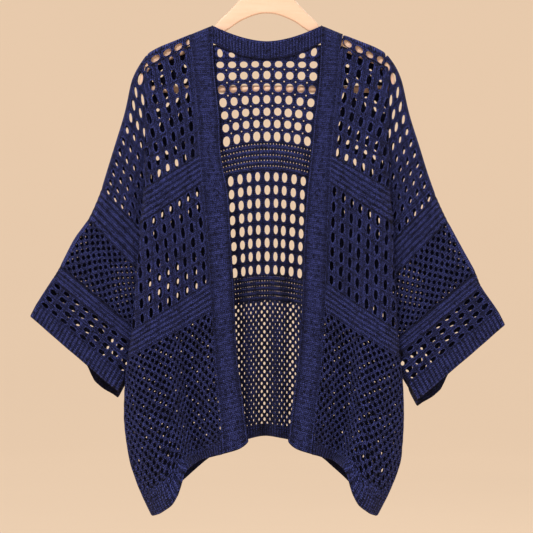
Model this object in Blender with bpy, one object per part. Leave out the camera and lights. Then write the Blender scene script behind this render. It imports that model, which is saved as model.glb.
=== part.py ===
"""Open-knit cardigan hanging on a wooden hanger.

The origin is where the hook rests: the inside of the hook's top. +Z is up, the garment's front
faces -Y and +X is to the viewer's right. The tables are in millimetres: x is measured out from
the centre line, a drop is measured down from the origin, and a depth is measured back from a
plane just in front of the back of the neck.

A piece of cloth is knitted flat as a grid of cells, each eyelet an opening in its cell. The grid
gets two layers, and each layer is then carried onto the draped surface, ridges and ribs being
raised on the outer layer only.
"""

import bpy
import bmesh
from bisect import bisect_right
from math import atan2, cos, pi, radians, sin, sqrt
from mathutils import Vector

MM = 0.001

# Cloth
WALL = 2.4              # thickness of the knitted cloth
BAND_WALL = 2.8         # thickness of the ribbed bands and cuffs
RIDGE = 1.5             # height of the ridges between the eyelet blocks
RIB = 0.9               # height of the ribs on bands, cuffs and hems
SEAM = 0.35             # gap between two pieces at a seam
EYELET_WIDE = 0.64      # width of an eyelet, as a share of its cell
EYELET_TALL = 0.70
EYELET_WAIST = 0.52     # width of an eyelet at its corners, as a share of its full width

# Hanger
ARM_DEPTH = 12.0        # thickness of the wooden body
HANGER_Y = 9.0          # depth of the hanger's middle plane, where y is 0
BAR_DROP = 232.0
BAR_DIAMETER = 12.0
BAR_HALF = 202.6
HOOK_INSIDE = 20.0      # inside radius of the hook
HOOK_WIRE = 3.6
STEM_DROP = 57.6

# Radius at which the cloth rolls over the hanger's arm
PANEL_ROLL = 10.2

# Shoulder line of the outer surface: x out from the centre, drop
SHOULDER = (
    (80, 123), (89, 126), (110, 135), (131, 143), (144, 148),
    (160, 154), (180, 162), (200, 175), (217, 195), (226, 219),
)

# Course lines of a front panel. v: position among the knitted bands.
# drop band, drop side: heights at the front band and at the side fold.
# band L, band R, side L, side R: distances out from the centre line.
COURSES = (
    # v,   drop band, drop side, band L, band R, side L, side R
    (0.0,  143,       176,       128,    124,    197,    195),
    (0.4,  222,       263,       120,    117,    205,    205),
    (0.7,  284,       336,       114,    111,    206,    205),
    (1.0,  342,       400,       111,    106,    207,    205),
    (2.0,  386,       454,       107,    103,    211,    209),
    (2.5,  472,       539,       98,     99,     217,    213),
    (3.0,  552,       633,       93,     96,     225,    217),
    (4.0,  597,       674,       91,     95,     229,    219),
    (4.5,  706,       768,       82,     87,     233,    223),
    (4.8,  776,       838,       76,     79,     225,    219),
    (5.0,  812,       900,       73,     74,     204,    197),
    (6.0,  832,       934,       72,     72,     188,    180),
)

# Depth of a front panel across its width, and how its outer edge turns back to the armhole.
# turn: how far the edge comes back in after the side fold (negative: it runs on outwards).
FRONT_DEPTH = (
    # v,   band,  valley, ridge, outer, side,  turn, seam
    (0.0,  -1.2,  -1.2,   -1.2,  -1.2,  -1.2,  -6,   -1.2),
    (0.15, -5.0,  -4.0,   -4.0,  -3.2,  -2.0,  -6,   -1.5),
    (0.4,  -9.0,  -9.0,   -10.0, -9.0,  -9.0,  5,    -5.0),
    (0.7,  -13,   -13,    -15,   -15,   -13,   10,   -8.0),
    (1.0,  -15,   -15,    -18,   -19,   -16,   12,   -9.5),
    (2.0,  -18,   -17,    -22,   -24,   -19,   12,   -11),
    (3.0,  -24,   -20,    -28,   -30,   -23,   12,   -14),
    (4.0,  -28,   -20,    -33,   -34,   -20,   8,    -9.0),
    (4.3,  -30,   -16,    -37,   -34,   -12,   1.5,  8.3),
    (5.0,  -32,   -8,     -46,   -36,   -9,    1.0,  8.3),
    (6.0,  -33,   -4,     -50,   -37,   -8,    1.0,  8.3),
)
VALLEY_AT, RIDGE_AT, OUTER_AT = 0.33, 0.53, 0.82   # places across a front panel

# Back panel. drop mid: the course at the centre line; pitch: distance between eyelet columns.
# centre, outer: depths at the centre line and behind the front panels; pleat: depth of the folds.
BACK = (
    # v,   drop mid, pitch, centre, outer, pleat
    (0.0,  184,      19.4,  -2.4,   19.2,  0.0),
    (0.35, 232,      18.6,  -3.0,   19.8,  0.0),
    (0.6,  266,      17.6,  1.0,    21.0,  0.0),
    (1.0,  321,      16.4,  8.0,    23.0,  1.0),
    (2.0,  366,      15.0,  12.0,   25.0,  3.0),
    (3.0,  539,      13.2,  18.0,   29.0,  6.0),
    (4.0,  580,      12.8,  20.0,   30.0,  7.0),
    (5.0,  787,      12.4,  25.0,   32.0,  8.0),
    (6.0,  806,      12.4,  25.0,   32.0,  8.0),
)
ROW_BOW = 1.9           # how the back's courses fall away towards the sides
PLEAT_PERIOD = 46.0
PLEAT_SHIFT = -5.0
NECK_RISE = 25.0        # how much the neck seam rises from the centre to the front bands
NECK_HALF = 86.0
FIRST_ROW = 0.04        # where the back's courses are straight below the curve of the neck

BAND_TOP = 124.0        # first course of a front band, on the shoulder
BAND_BOTTOM = 831.0
BAND_SLANT = 11.0       # how much higher a band ends at its inner edge

# Front bands. inner and outer edges, as distances out from the centre line.
BANDS = (
    # drop, inner L, inner R, outer L, outer R, depth
    (124,   89,      89,      128,     124,     -1.2),
    (150,   89,      89,      126,     121,     -4.5),
    (165,   89,      89,      124,     119,     -6.5),
    (215,   86,      87,      120,     117,     -9.5),
    (284,   79,      79,      114,     111,     -13.5),
    (337,   77,      74,      111,     106,     -15.5),
    (415,   64,      66,      104,     102,     -19),
    (498,   59,      61,      96,      98,      -24),
    (587,   54,      58,      91,      95,      -27),
    (674,   50,      53,      85,      90,      -30),
    (763,   39,      42,      77,      80,      -32),
    (831,   31,      35,      71.5,    71.5,    -34),
)

# Sleeves. outer: the silhouette; slope: fall of a course inwards from the silhouette, in degrees.
# roll: radius of the outer fold; centre: depth of the fold; belly: fullness of the tube.
SLEEVES = (
    # w,   x L, drop L, x R, drop R, slope, roll, centre, belly
    (0.0,  198, 177,    198, 177,    52,    7.2,  9.0,    0.0),
    (0.4,  205, 182.5,  205, 182.5,  51,    7.2,  9.0,    0.0),
    (1.0,  217, 195,    217, 194,    50,    7.2,  9.0,    0.5),
    (2.0,  225, 219,    224, 219,    49,    7.2,  9.0,    1.0),
    (3.0,  229, 243,    229, 245,    48,    7.0,  9.0,    1.5),
    (4.0,  234, 266,    234, 268,    47,    6.8,  9.0,    2.0),
    (6.0,  250, 319,    251, 322,    46,    6.6,  8.5,    3.0),
    (8.0,  266, 371,    267, 374,    46,    6.4,  8.0,    4.0),
    (9.0,  274, 397,    280, 409,    46,    6.2,  8.0,    4.5),
    (10.0, 295, 445,    298, 448,    46,    6.0,  8.0,    5.0),
    (11.0, 318, 478,    321, 491,    43,    5.8,  7.5,    6.5),
    (12.0, 342, 524,    345, 535,    40,    5.6,  7.0,    8.0),
    (13.0, 354, 544,    354, 557,    39,    5.5,  6.5,    8.5),
    (14.0, 379, 583,    380, 595,    39.5,  5.4,  6.0,    9.5),
    (15.0, 391, 606,    393, 620,    40.5,  5.4,  6.0,    10.5),
)
ARMPIT_W = 12.4         # the course that meets the armpit
CUFF_LENGTH = 187.0     # length of a course at the cuff
CUFF_LAG = 15.0         # how much lower the back of the cuff hangs at the underarm

# Armhole, hidden behind the side fold: drop, x out from the centre
ARMHOLE = ((170, 190), (230, 192), (300, 193), (400, 194), (540, 203), (633, 211), (680, 216), (760, 222))

# Outline of the wooden body, right half, from the crown down the top edge and back underneath
HANGER_TOP = ((0, 58), (16, 61), (34, 73), (46, 86), (64, 105), (81, 121.5), (88, 131), (112, 142.5),
              (131, 151), (160, 162), (178, 170), (192, 181), (203, 195), (209, 212), (211, 232))
HANGER_UNDER = ((208, 241), (204.5, 238), (203.5, 228), (198, 209), (184, 195), (156, 182), (128, 170),
                (100, 157), (66, 135), (38, 117), (0, 107))

YARN = (0.022, 0.026, 0.125, 1.0)
WOOD = (0.80, 0.62, 0.42, 1.0)
STEEL = (0.62, 0.62, 0.64, 1.0)


# ---------- tables and curves ----------

def look_up(table, at):
    """Row of a table at a position, eased between the rows it is given at."""
    keys = [row[0] for row in table]
    at = min(max(at, keys[0]), keys[-1])
    i = min(max(bisect_right(keys, at) - 1, 0), len(keys) - 2)
    low, high = table[i], table[i + 1]
    span = high[0] - low[0]
    t = (at - low[0]) / span
    values = []
    for k in range(1, len(low)):
        values.append(
            (2 * t**3 - 3 * t**2 + 1) * low[k] + (t**3 - 2 * t**2 + t) * span * slope_at(table, i, k)
            + (3 * t**2 - 2 * t**3) * high[k] + (t**3 - t**2) * span * slope_at(table, i + 1, k)
        )
    return values


def slope_at(table, i, k):
    """Slope of a column at a row, level at a high or low point so that no value overshoots."""
    rises = [
        (table[j + 1][k] - table[j][k]) / (table[j + 1][0] - table[j][0])
        for j in (i - 1, i) if 0 <= j < len(table) - 1
    ]
    before, after = rises[0], rises[-1]
    return 2 * before * after / (before + after) if before * after > 0 else 0.0


def soft_step(t):
    t = min(max(t, 0.0), 1.0)
    return t * t * (3 - 2 * t)


def blend(a, b, t):
    return a + (b - a) * t


def roll(distance, radius):
    """Share of the way that cloth has turned down after rolling over an edge."""
    t = min(max(distance / radius, 0.0), 1.0)
    return sqrt(max(1 - (1 - t) ** 2, 0.0))


def shoulder_drop(x):
    return look_up(SHOULDER, abs(x))[0]


def spline_line(controls, steps):
    """Points of a smooth line through the controls."""
    line = []
    last = len(controls) - 1
    for i in range(last):
        a, b = controls[max(i - 1, 0)], controls[i]
        c, d = controls[i + 1], controls[min(i + 2, last)]
        for k in range(steps):
            t = k / steps
            line.append(
                0.5 * (2 * b + (c - a) * t + (2 * a - 5 * b + 4 * c - d) * t * t
                       + (3 * b - a - 3 * c + d) * t**3)
            )
    line.append(controls[-1])
    return line


# ---------- draped surfaces (inner side of the cloth, in millimetres) ----------

LEFT, RIGHT = -1, 1
section_cache = {}


def front_section(side, v):
    """A course of a front panel in plan, from the front band to the armhole, with its length."""
    key = (side, round(v, 5))
    if key not in section_cache:
        _, _, band_left, band_right, side_left, side_right = look_up(COURSES, v)
        band_y, valley_y, ridge_y, outer_y, side_y, turn, seam_y = look_up(FRONT_DEPTH, v)
        band_x = (band_left if side == LEFT else band_right) + 2 * SEAM
        side_x = (side_left if side == LEFT else side_right) - WALL
        controls = [Vector((band_x, band_y))]
        for place, depth in ((VALLEY_AT, valley_y), (RIDGE_AT, ridge_y), (OUTER_AT, outer_y)):
            controls.append(Vector((blend(band_x, side_x, place), depth)))
        controls.append(Vector((side_x, side_y)))
        controls.append(Vector((side_x - turn, seam_y)))
        line = spline_line(controls, 8)
        lengths = [0.0]
        for a, b in zip(line, line[1:]):
            lengths.append(lengths[-1] + (b - a).length)
        at_side = lengths[8 * 4]
        section_cache[key] = (line, lengths, at_side, band_x, side_x)
    return section_cache[key]


def front_point(side, u, v):
    """u runs from 0 at the front band to 1 at the side fold, and on to 2 at the armhole."""
    line, lengths, at_side, band_x, side_x = front_section(side, v)
    distance = at_side * u if u <= 1 else blend(at_side, lengths[-1], u - 1)
    i = min(max(bisect_right(lengths, distance) - 1, 0), len(line) - 2)
    t = (distance - lengths[i]) / (lengths[i + 1] - lengths[i])
    plan = line[i].lerp(line[i + 1], t)
    drop_band, drop_side = look_up(COURSES, v)[:2]
    across = min((plan.x - band_x) / (side_x - band_x), 1.0)
    drop = blend(drop_band, drop_side, across)
    top = shoulder_drop(plan.x) + WALL
    drop = max(drop + WALL * (1 - min(v * 6, 1)), top) if v > 0 else top
    turned = roll(drop - top, PANEL_ROLL)
    y = plan.y + (HANGER_Y - SEAM - plan.y) * (1 - turned)
    return Vector((side * plan.x, y, -drop))


def band_point(side, u, drop):
    """u runs from 0 at the inner edge of a front band to 1 at its seam with the panel."""
    inner_left, inner_right, outer_left, outer_right, depth = look_up(BANDS, drop)
    inner, outer = (inner_left, outer_left) if side == LEFT else (inner_right, outer_right)
    x = blend(inner, outer, u)
    top = shoulder_drop(x) + WALL
    level = BAND_TOP + 60
    hang = drop if drop > level else blend(top, level, (drop - BAND_TOP) / (level - BAND_TOP))
    y = depth + (HANGER_Y - depth) * (1 - roll(hang - top, PANEL_ROLL))
    hang -= BAND_SLANT * (1 - u) * (drop - BAND_TOP) / (BAND_BOTTOM - BAND_TOP)
    return Vector((side * x, y, -hang))


def back_x(c, v, side_x):
    """c counts eyelet columns from the centre line; beyond the last one it goes on to the side."""
    pitch = look_up(BACK, v)[1]
    edge = MIDDLE_COLUMNS / 2
    if abs(c) <= edge:
        return pitch * c
    x = blend(pitch * edge, side_x, min((abs(c) - edge) / OUTER_COLUMNS, 1.0))
    return x if c > 0 else -x


def back_point(c, v):
    """Back panel. Past the side fold, c goes on to the armhole."""
    side = LEFT if c < 0 else RIGHT
    drop_mid, _, centre_y, outer_y, pleat = look_up(BACK, v)
    _, drop_side, _, _, side_left, side_right = look_up(COURSES, v)
    side_x = (side_left if side == LEFT else side_right) - WALL
    x = back_x(c, v, side_x)
    past = max(abs(c) - MIDDLE_COLUMNS / 2 - OUTER_COLUMNS, 0.0)
    turn, seam_y = look_up(FRONT_DEPTH, v)[-2:]
    seam_y = 2 * HANGER_Y - seam_y
    behind = soft_step((abs(x) - 84) / 40)
    y = blend(centre_y, outer_y, behind)
    y += pleat * cos(2 * pi * (x - PLEAT_SHIFT) / PLEAT_PERIOD) * (1 - 0.7 * soft_step((abs(x) - 60) / 60))
    near_side = soft_step((abs(x) - side_x + 26) / 26)
    edge_y = blend(outer_y, seam_y, 0.45 if turn > 2.5 else 0.3)
    y = blend(y, edge_y, near_side)
    bow = (abs(x) / side_x) ** ROW_BOW
    drop = blend(drop_mid, drop_side, bow)
    if v < 1:
        last = blend(look_up(BACK, 1)[0], look_up(COURSES, 1)[1], bow)
        drop = blend(back_top(x), last, v) if v > FIRST_ROW else blend(
            back_edge(x), blend(back_top(x), last, FIRST_ROW), max(v, 0) / FIRST_ROW
        )
    if past > 0:
        y = blend(edge_y, seam_y, past)
        x -= (turn * past) * (1 if x > 0 else -1)
    if v < 0:
        line = shoulder_drop(x) + WALL
        drop = blend(back_edge(x), line, min(-v, 1.0))
        turned = roll(drop - line, PANEL_ROLL)
        y = y + (HANGER_Y + SEAM - y) * (1 - turned)
    return Vector((x, y, -drop))


def neck_seam(x):
    return 184 - NECK_RISE * min(abs(x) / NECK_HALF, 1.02) ** 2


def back_top(x):
    """First full course: straight across the neck, and just under the hanger's arm outside it."""
    return blend(184, under_arm(x), soft_step((abs(x) - 105) / 30))


def back_edge(x):
    """Top edge of the back: the neck seam, and the hanger's arm outside it."""
    return blend(neck_seam(x), under_arm(x), soft_step((abs(x) - 86) / 12))


def under_arm(x):
    return shoulder_drop(x) + 32


def armhole_x(drop):
    return look_up(ARMHOLE, drop)[0]


def course_length(side, w):
    """Length of a sleeve course, from the silhouette to the armhole or the underarm."""
    x_left, drop_left, x_right, drop_right, slope = look_up(SLEEVES, w)[:5]
    x, drop = (x_left, drop_left) if side == LEFT else (x_right, drop_right)
    length = 0.0
    for _ in range(12):
        reach = drop + (length + WALL) * sin(radians(slope))
        length = max((x - armhole_x(reach)) / cos(radians(slope)) - WALL, 0.0)
    return min(length, CUFF_LENGTH)


def sleeve_point(side, face, c, w):
    """face is -1 on the front of the sleeve and 1 on its back; c runs in from the silhouette."""
    x_left, drop_left, x_right, drop_right, slope, radius, centre, belly = look_up(SLEEVES, w)
    x, drop = (x_left, drop_left) if side == LEFT else (x_right, drop_right)
    length = course_length(side, w)
    close = soft_step((w - ARMPIT_W) / 0.8)
    inward = c + WALL
    half = radius * roll(c, radius) + belly * soft_step(c / 70) * roll(c, 40)
    tail = roll(length - c, 14.0)
    half *= blend(1.0, tail, close)
    lag = CUFF_LAG * soft_step((c / max(length, 1) - 0.35) / 0.65) * soft_step((w - 11.5) / 3) if face > 0 else 0
    lag *= blend(1.0, 0.55, close) if c >= length else 1.0
    a = radians(slope)
    return Vector((
        side * (x - inward * cos(a)),
        centre + face * half + face * SEAM * 0.5,
        -(drop + inward * sin(a) + lag),
    ))


# ---------- cloth as a grid ----------

MIDDLE_COLUMNS = 9      # eyelet columns between the front bands
OUTER_COLUMNS = 5       # columns' worth of cloth from there to the side


def spread(start, stop, count):
    return [start + (stop - start) * k / count for k in range(count)]


def knit(columns, rows, keep=None, eyelet=None, merge=None):
    """A flat grid of cells at the given column and row places, with its eyelets open."""
    bm = bmesh.new()
    bmesh.ops.create_grid(bm, x_segments=len(columns) - 1, y_segments=len(rows) - 1, size=0.5)
    for vert in bm.verts:
        vert.co.x = (vert.co.x + 0.5) * (len(columns) - 1)
        vert.co.y = (vert.co.y + 0.5) * (len(rows) - 1)
    cells = [(face, int(face.calc_center_median().x), int(face.calc_center_median().y)) for face in bm.faces]
    if keep:
        unwanted = [face for face, i, j in cells if not keep(i, j)]
        cells = [cell for cell in cells if keep(cell[1], cell[2])]
        bmesh.ops.delete(bm, geom=unwanted, context="FACES")
    if eyelet:
        open_cells = [face for face, i, j in cells if eyelet(i, j)]
        open_eyelets(bm, open_cells)
    place_on(bm, columns, rows)
    if merge:
        merge(bm)
    return bm


def open_eyelets(bm, faces):
    """Insets a six-sided eyelet in each cell: flat sides above and below, a point left and right."""
    centres = [face.calc_center_median() for face in faces]
    bmesh.ops.inset_individual(bm, faces=faces, thickness=(1 - EYELET_TALL) / 2, use_even_offset=True)
    uprights = []
    for face, centre in zip(faces, centres):
        uprights += [(e, centre.x) for e in face.edges if abs(e.verts[0].co.x - e.verts[1].co.x) < 0.01]
        for vert in face.verts:
            vert.co.x = centre.x + (EYELET_WIDE * EYELET_WAIST / 2) * (1 if vert.co.x > centre.x else -1)
    bmesh.ops.delete(bm, geom=faces, context="FACES_ONLY")
    for edge, centre_x in uprights:
        for item in bmesh.ops.subdivide_edges(bm, edges=[edge], cuts=1)["geom_inner"]:
            if isinstance(item, bmesh.types.BMVert):
                item.co.x = centre_x + (EYELET_WIDE / 2) * (1 if item.co.x > centre_x else -1)


def place_on(bm, columns, rows):
    """Moves grid counts to the columns' and rows' own places."""
    def place(values, at):
        i = min(int(at), len(values) - 2)
        return blend(values[i], values[i + 1], at - i)
    for vert in bm.verts:
        vert.co.x = place(columns, vert.co.x)
        vert.co.y = place(rows, vert.co.y)


def wall(bm, surface, thickness, relief=None, inside_out=False, plain=None):
    """Gives a flat grid two layers and carries both onto a draped surface.

    plain names an axis and the places along it that are left out of the inner layer, so that
    the ridges and ribs stand on a plain inside.
    """
    outer = bmesh.ops.extrude_face_region(bm, geom=bm.faces[:], use_keep_orig=True)["geom"]
    outer = {item for item in outer if isinstance(item, bmesh.types.BMVert)}
    if plain:
        plain_inside(bm, outer, *plain)
    step = 0.002
    for vert in bm.verts:
        u, v = vert.co.x, vert.co.y
        here = surface(u, v)
        if vert in outer:
            across = surface(u + step, v) - surface(u - step, v)
            down = surface(u, v + step) - surface(u, v - step)
            normal = down.cross(across) if inside_out else across.cross(down)
            normal.normalize()
            here = here + normal * (thickness + (relief(u, v) if relief else 0.0))
        vert.co = (here - Vector((0, HANGER_Y, 0))) * MM
    bmesh.ops.recalc_face_normals(bm, faces=bm.faces)
    if bm.calc_volume(signed=True) < 0:
        bmesh.ops.reverse_faces(bm, faces=bm.faces)
    return bm


def plain_inside(bm, outer, axis, places):
    """Dissolves the inner layer's edges at the given places along an axis of the flat grid."""
    inner = [v for v in bm.verts if v not in outer and round(v.co[axis], 4) in places]
    edges = {
        edge for vert in inner for edge in vert.link_edges
        if abs(edge.other_vert(vert).co[axis] - vert.co[axis]) < 1e-4
    }
    bmesh.ops.dissolve_edges(bm, edges=list(edges), use_verts=True)


def places_between(values, keep_every):
    """Rounded places of a list, without every so-manieth one and without both ends."""
    return {round(v, 4) for k, v in enumerate(values[:-1]) if k % keep_every}


def make_object(name, bm, material, collection):
    mesh = bpy.data.meshes.new(name)
    bm.to_mesh(mesh)
    bm.free()
    mesh.materials.append(material)
    obj = bpy.data.objects.new(name, mesh)
    collection.objects.link(obj)
    return obj


def make_material(name, colour, roughness, metallic):
    material = bpy.data.materials.new(name)
    material.use_nodes = True
    shader = material.node_tree.nodes["Principled BSDF"]
    shader.inputs["Base Color"].default_value = colour
    shader.inputs["Roughness"].default_value = roughness
    shader.inputs["Metallic"].default_value = metallic
    return material


# ---------- knitted bands down a panel ----------

RIDGE_COUNT = 3
YOKE_STRIP = 0.018      # plain edge over the shoulder, before the first eyelets


def ridge_rows(start, stop):
    return spread(start, stop, 2 * RIDGE_COUNT)


def ridge_places():
    """Places inside the two ridge bands, which the inner layer passes over."""
    return places_between(ridge_rows(1.0, 2.0), RIDGE_COUNT) | places_between(ridge_rows(3.0, 4.0), RIDGE_COUNT)


def ridge_relief(v):
    """Height of the ridges: v between 1 and 2, and between 3 and 4, crosses a ridge band."""
    for start in (1.0, 3.0):
        if start < v < start + 1:
            return RIDGE * (1 - abs(((v - start) * RIDGE_COUNT) % 1.0 * 2 - 1))
    return 0.0


def make_front(side, name, material, collection):
    columns = spread(0.0, 1.0, 6) + [1.0, 1.5, 2.0]
    yoke = [0.0] + spread(YOKE_STRIP, 1.0, 6)
    rows = yoke + ridge_rows(1.0, 2.0) + spread(2.0, 3.0, 4) + ridge_rows(3.0, 4.0) + spread(4.0, 5.0, 3) + [5.0]
    lower = len(yoke) + 2 * RIDGE_COUNT

    def eyelet(i, j):
        return i < 5 and (1 <= j < len(yoke) or lower <= j < lower + 4)

    bm = knit(columns, rows, eyelet=eyelet)
    wall(bm, lambda u, v: front_point(side, u, v), WALL, inside_out=side == RIGHT,
         relief=lambda u, v: ridge_relief(v) if u < 1.2 else 0.0, plain=(1, ridge_places()))
    return make_object(name, bm, material, collection)


def make_back(name, material, collection):
    edge = MIDDLE_COLUMNS / 2
    middle = [k - edge for k in range(MIDDLE_COLUMNS + 1)]
    outer = [edge + share * OUTER_COLUMNS for share in (0.19, 0.37, 0.7, 1.0)] + [edge + OUTER_COLUMNS + 1]
    columns = [-c for c in reversed(outer)] + middle + outer
    over_arm = [-1.0, -0.72, -0.36]
    upper_block = [FIRST_ROW, 0.15, 0.26, 0.48, 0.65, 0.82]
    rows = over_arm + [0.0] + upper_block + ridge_rows(1.0, 2.0) + spread(2.0, 3.0, 5)
    rows += ridge_rows(3.0, 4.0) + spread(4.0, 5.0, 3) + [5.0]
    side_cells = len(outer)
    first_middle, last_middle = side_cells, side_cells + MIDDLE_COLUMNS
    crossing = {first_middle - 1, first_middle - 2, last_middle, last_middle + 1}
    roll_rows = len(over_arm)
    first_row = roll_rows + 1
    bar_row = first_row + 2
    lower = first_row + len(upper_block) + 2 * RIDGE_COUNT

    def keep(i, j):
        if j < roll_rows:
            return i < first_middle - 2 or i >= last_middle + 2
        return not (j == bar_row and i in crossing)

    def eyelet(i, j):
        in_block = first_row <= j < first_row + len(upper_block) or lower <= j < lower + 5
        return first_middle <= i < last_middle and in_block

    bm = knit(columns, rows, keep=keep, eyelet=eyelet)
    wall(bm, back_point, WALL, relief=lambda c, v: ridge_relief(v), plain=(1, ridge_places()))
    return make_object(name, bm, material, collection)


def neck_point(x, t):
    """t runs from 0 at the free edge of the neck band to 1 at its seam with the back."""
    free = 153 - 27 * (abs(x) / 88.5) ** 1.75
    drop = blend(free + WALL, neck_seam(x) - 2 * SEAM, t)
    return Vector((x, blend(-4.4, -2.6, t) + 3.2 * soft_step((abs(x) - 60) / 40) * (1 - t), -drop))


def make_neck_band(name, material, collection):
    ribs, half = 22, 88.4
    columns = [half * (2 * k / (2 * ribs) - 1) for k in range(2 * ribs + 1)]
    crest = half / ribs
    bm = knit(columns, [0.0, 1.0])
    wall(bm, neck_point, BAND_WALL - 1, inside_out=True,
         relief=lambda x, t: RIB * abs(((x + half) / crest / 2) % 1.0 * 2 - 1))
    return make_object(name, bm, material, collection)


def make_band(side, name, material, collection):
    ribs = 56
    rows = [blend(BAND_TOP, BAND_BOTTOM, k / (2 * ribs)) for k in range(2 * ribs + 1)]
    crest = (BAND_BOTTOM - BAND_TOP) / ribs

    def relief(u, drop):
        return RIB * (1 - abs(((drop - BAND_TOP) / crest) % 1.0 * 2 - 1))

    bm = knit([0.0, 1.0], rows)
    wall(bm, lambda u, drop: band_point(side, u, drop), BAND_WALL, relief, inside_out=side == RIGHT,
         plain=(1, places_between(rows[8:], 4)))
    return make_object(name, bm, material, collection)


def sleeve_rows():
    first, second = sleeve_ridges()
    return [0.0] + spread(0.25, 9.0, 7) + first + spread(10.0, 12.0, 2) + second + spread(13.0, 14.0, 2) + [14.0]


def sleeve_ridges():
    return spread(9.0, 10.0, 6), spread(12.0, 13.0, 4)


def sleeve_relief(w):
    if 9.0 < w < 10.0:
        return RIDGE * (1 - abs(((w - 9.0) * 3) % 1.0 * 2 - 1))
    if 12.0 < w < 13.0:
        return RIDGE * (1 - abs(((w - 12.0) * 2) % 1.0 * 2 - 1))
    return 0.0


def make_sleeve(side, face, name, material, collection):
    pitch = CUFF_LENGTH / 9
    columns = [0.0, 3.0] + [pitch * (k + 1) for k in range(9) if face < 0 or k % 2 == 0]
    rows = sleeve_rows()
    plain = set().union(*(places_between(band, 6) for band in sleeve_ridges()))

    def keep(i, j):
        return columns[i] < course_length(side, rows[j]) - 0.5 or columns[i] < course_length(side, rows[j + 1]) - 0.5

    def eyelet(i, j):
        whole = columns[i + 1] < min(course_length(side, rows[j]), course_length(side, rows[j + 1]))
        yoke = 1 <= i < 4 and 1 <= j < 8
        above_cuff = 1 <= i < 9 and j == len(rows) - 3
        return face < 0 and whole and (yoke or above_cuff)

    def gather(bm):
        for vert in bm.verts:
            vert.co.x = min(vert.co.x, course_length(side, vert.co.y))
        bmesh.ops.remove_doubles(bm, verts=bm.verts, dist=1e-4)

    bm = knit(columns, rows, keep=keep, eyelet=eyelet, merge=gather)
    wall(bm, lambda c, w: sleeve_point(side, face, c, w), WALL, inside_out=side * face > 0,
         relief=lambda c, w: sleeve_relief(w) if c < course_length(side, w) - 12 else 0.0, plain=(1, plain))
    return make_object(name, bm, material, collection)


def cuff_point(side, around, w):
    """around runs from 0 to 1 down the front of the cuff and from 1 to 2 back up behind it."""
    around %= 2
    length = course_length(side, w)
    if around <= 1:
        return sleeve_point(side, -1, around * length, w)
    return sleeve_point(side, 1, (2 - around) * length, w)


def make_cuff(side, name, material, collection):
    ribs, start, stop = 30, 14.03, 15.0
    count = 2 * ribs
    bm = bmesh.new()
    bmesh.ops.create_cone(bm, segments=count, radius1=1, radius2=1, depth=1)
    for vert in bm.verts:
        turn = round(atan2(vert.co.y, vert.co.x) / (2 * pi) * count) % count
        vert.co = (2 * turn / count, stop if vert.co.z > 0 else start, 0)
    wall(bm, lambda around, w: cuff_point(side, around, w), BAND_WALL, inside_out=side == LEFT,
         relief=lambda around, w: RIB * (1 - abs((around * ribs / 2) % 1.0 * 2 - 1)),
         plain=(0, places_between([2 * k / count for k in range(count + 1)], 3)))
    return make_object(name, bm, material, collection)


def make_front_hem(side, name, material, collection):
    ribs = 17
    columns = [2 * k / (2 * ribs) for k in range(2 * ribs + 1)]
    bm = knit(columns, [5.02, 6.0])
    wall(bm, lambda u, v: front_point(side, u, v), WALL, inside_out=side == RIGHT,
         relief=lambda u, v: RIB * (1 - abs((u * ribs / 2) % 1.0 * 2 - 1)),
         plain=(0, places_between(columns[:-2], 3)))
    return make_object(name, bm, material, collection)


def make_back_hem(name, material, collection):
    ribs, half = 36, MIDDLE_COLUMNS / 2 + OUTER_COLUMNS + 1
    columns = [half * (k / ribs - 1) for k in range(2 * ribs + 1)]
    bm = knit(columns, [5.03, 6.0])
    wall(bm, back_point, WALL, relief=lambda c, v: RIB * (1 - abs((c / half * ribs / 2) % 1.0 * 2 - 1)),
         plain=(0, places_between(columns[2:-2], 3)))
    return make_object(name, bm, material, collection)


# ---------- hanger ----------

def make_hanger_body(material, collection):
    half = list(HANGER_TOP) + list(HANGER_UNDER)
    outline = half + [(-x, drop) for x, drop in reversed(half[1:-1])]
    curve = bpy.data.curves.new("hanger_body", "CURVE")
    curve.dimensions = "2D"
    curve.fill_mode = "BOTH"
    edge = 2.0
    curve.extrude = (ARM_DEPTH / 2 - edge) * MM
    curve.bevel_depth = edge * MM
    curve.bevel_resolution = 0
    curve.offset = -edge * MM
    curve.resolution_u = 1
    spline = curve.splines.new("BEZIER")
    spline.bezier_points.add(len(outline) - 1)
    for point, (x, drop) in zip(spline.bezier_points, outline):
        point.co = (x * MM, -drop * MM, 0)
        point.handle_left_type = point.handle_right_type = "AUTO"
    spline.use_cyclic_u = True
    curve.materials.append(material)
    body = bpy.data.objects.new("hanger_body", curve)
    collection.objects.link(body)
    body.rotation_euler = (pi / 2, 0, 0)
    return body


def make_hanger_bar(material, collection):
    bpy.ops.mesh.primitive_cylinder_add(
        vertices=16, radius=BAR_DIAMETER / 2 * MM, depth=2 * BAR_HALF * MM,
        location=(0, 0, -BAR_DROP * MM), rotation=(0, pi / 2, 0),
    )
    bar = bpy.context.object
    bar.name = bar.data.name = "hanger_bar"
    bar.data.materials.append(material)
    bar.data.shade_smooth()
    for owner in bar.users_collection:
        owner.objects.unlink(bar)
    collection.objects.link(bar)
    return bar


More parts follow.
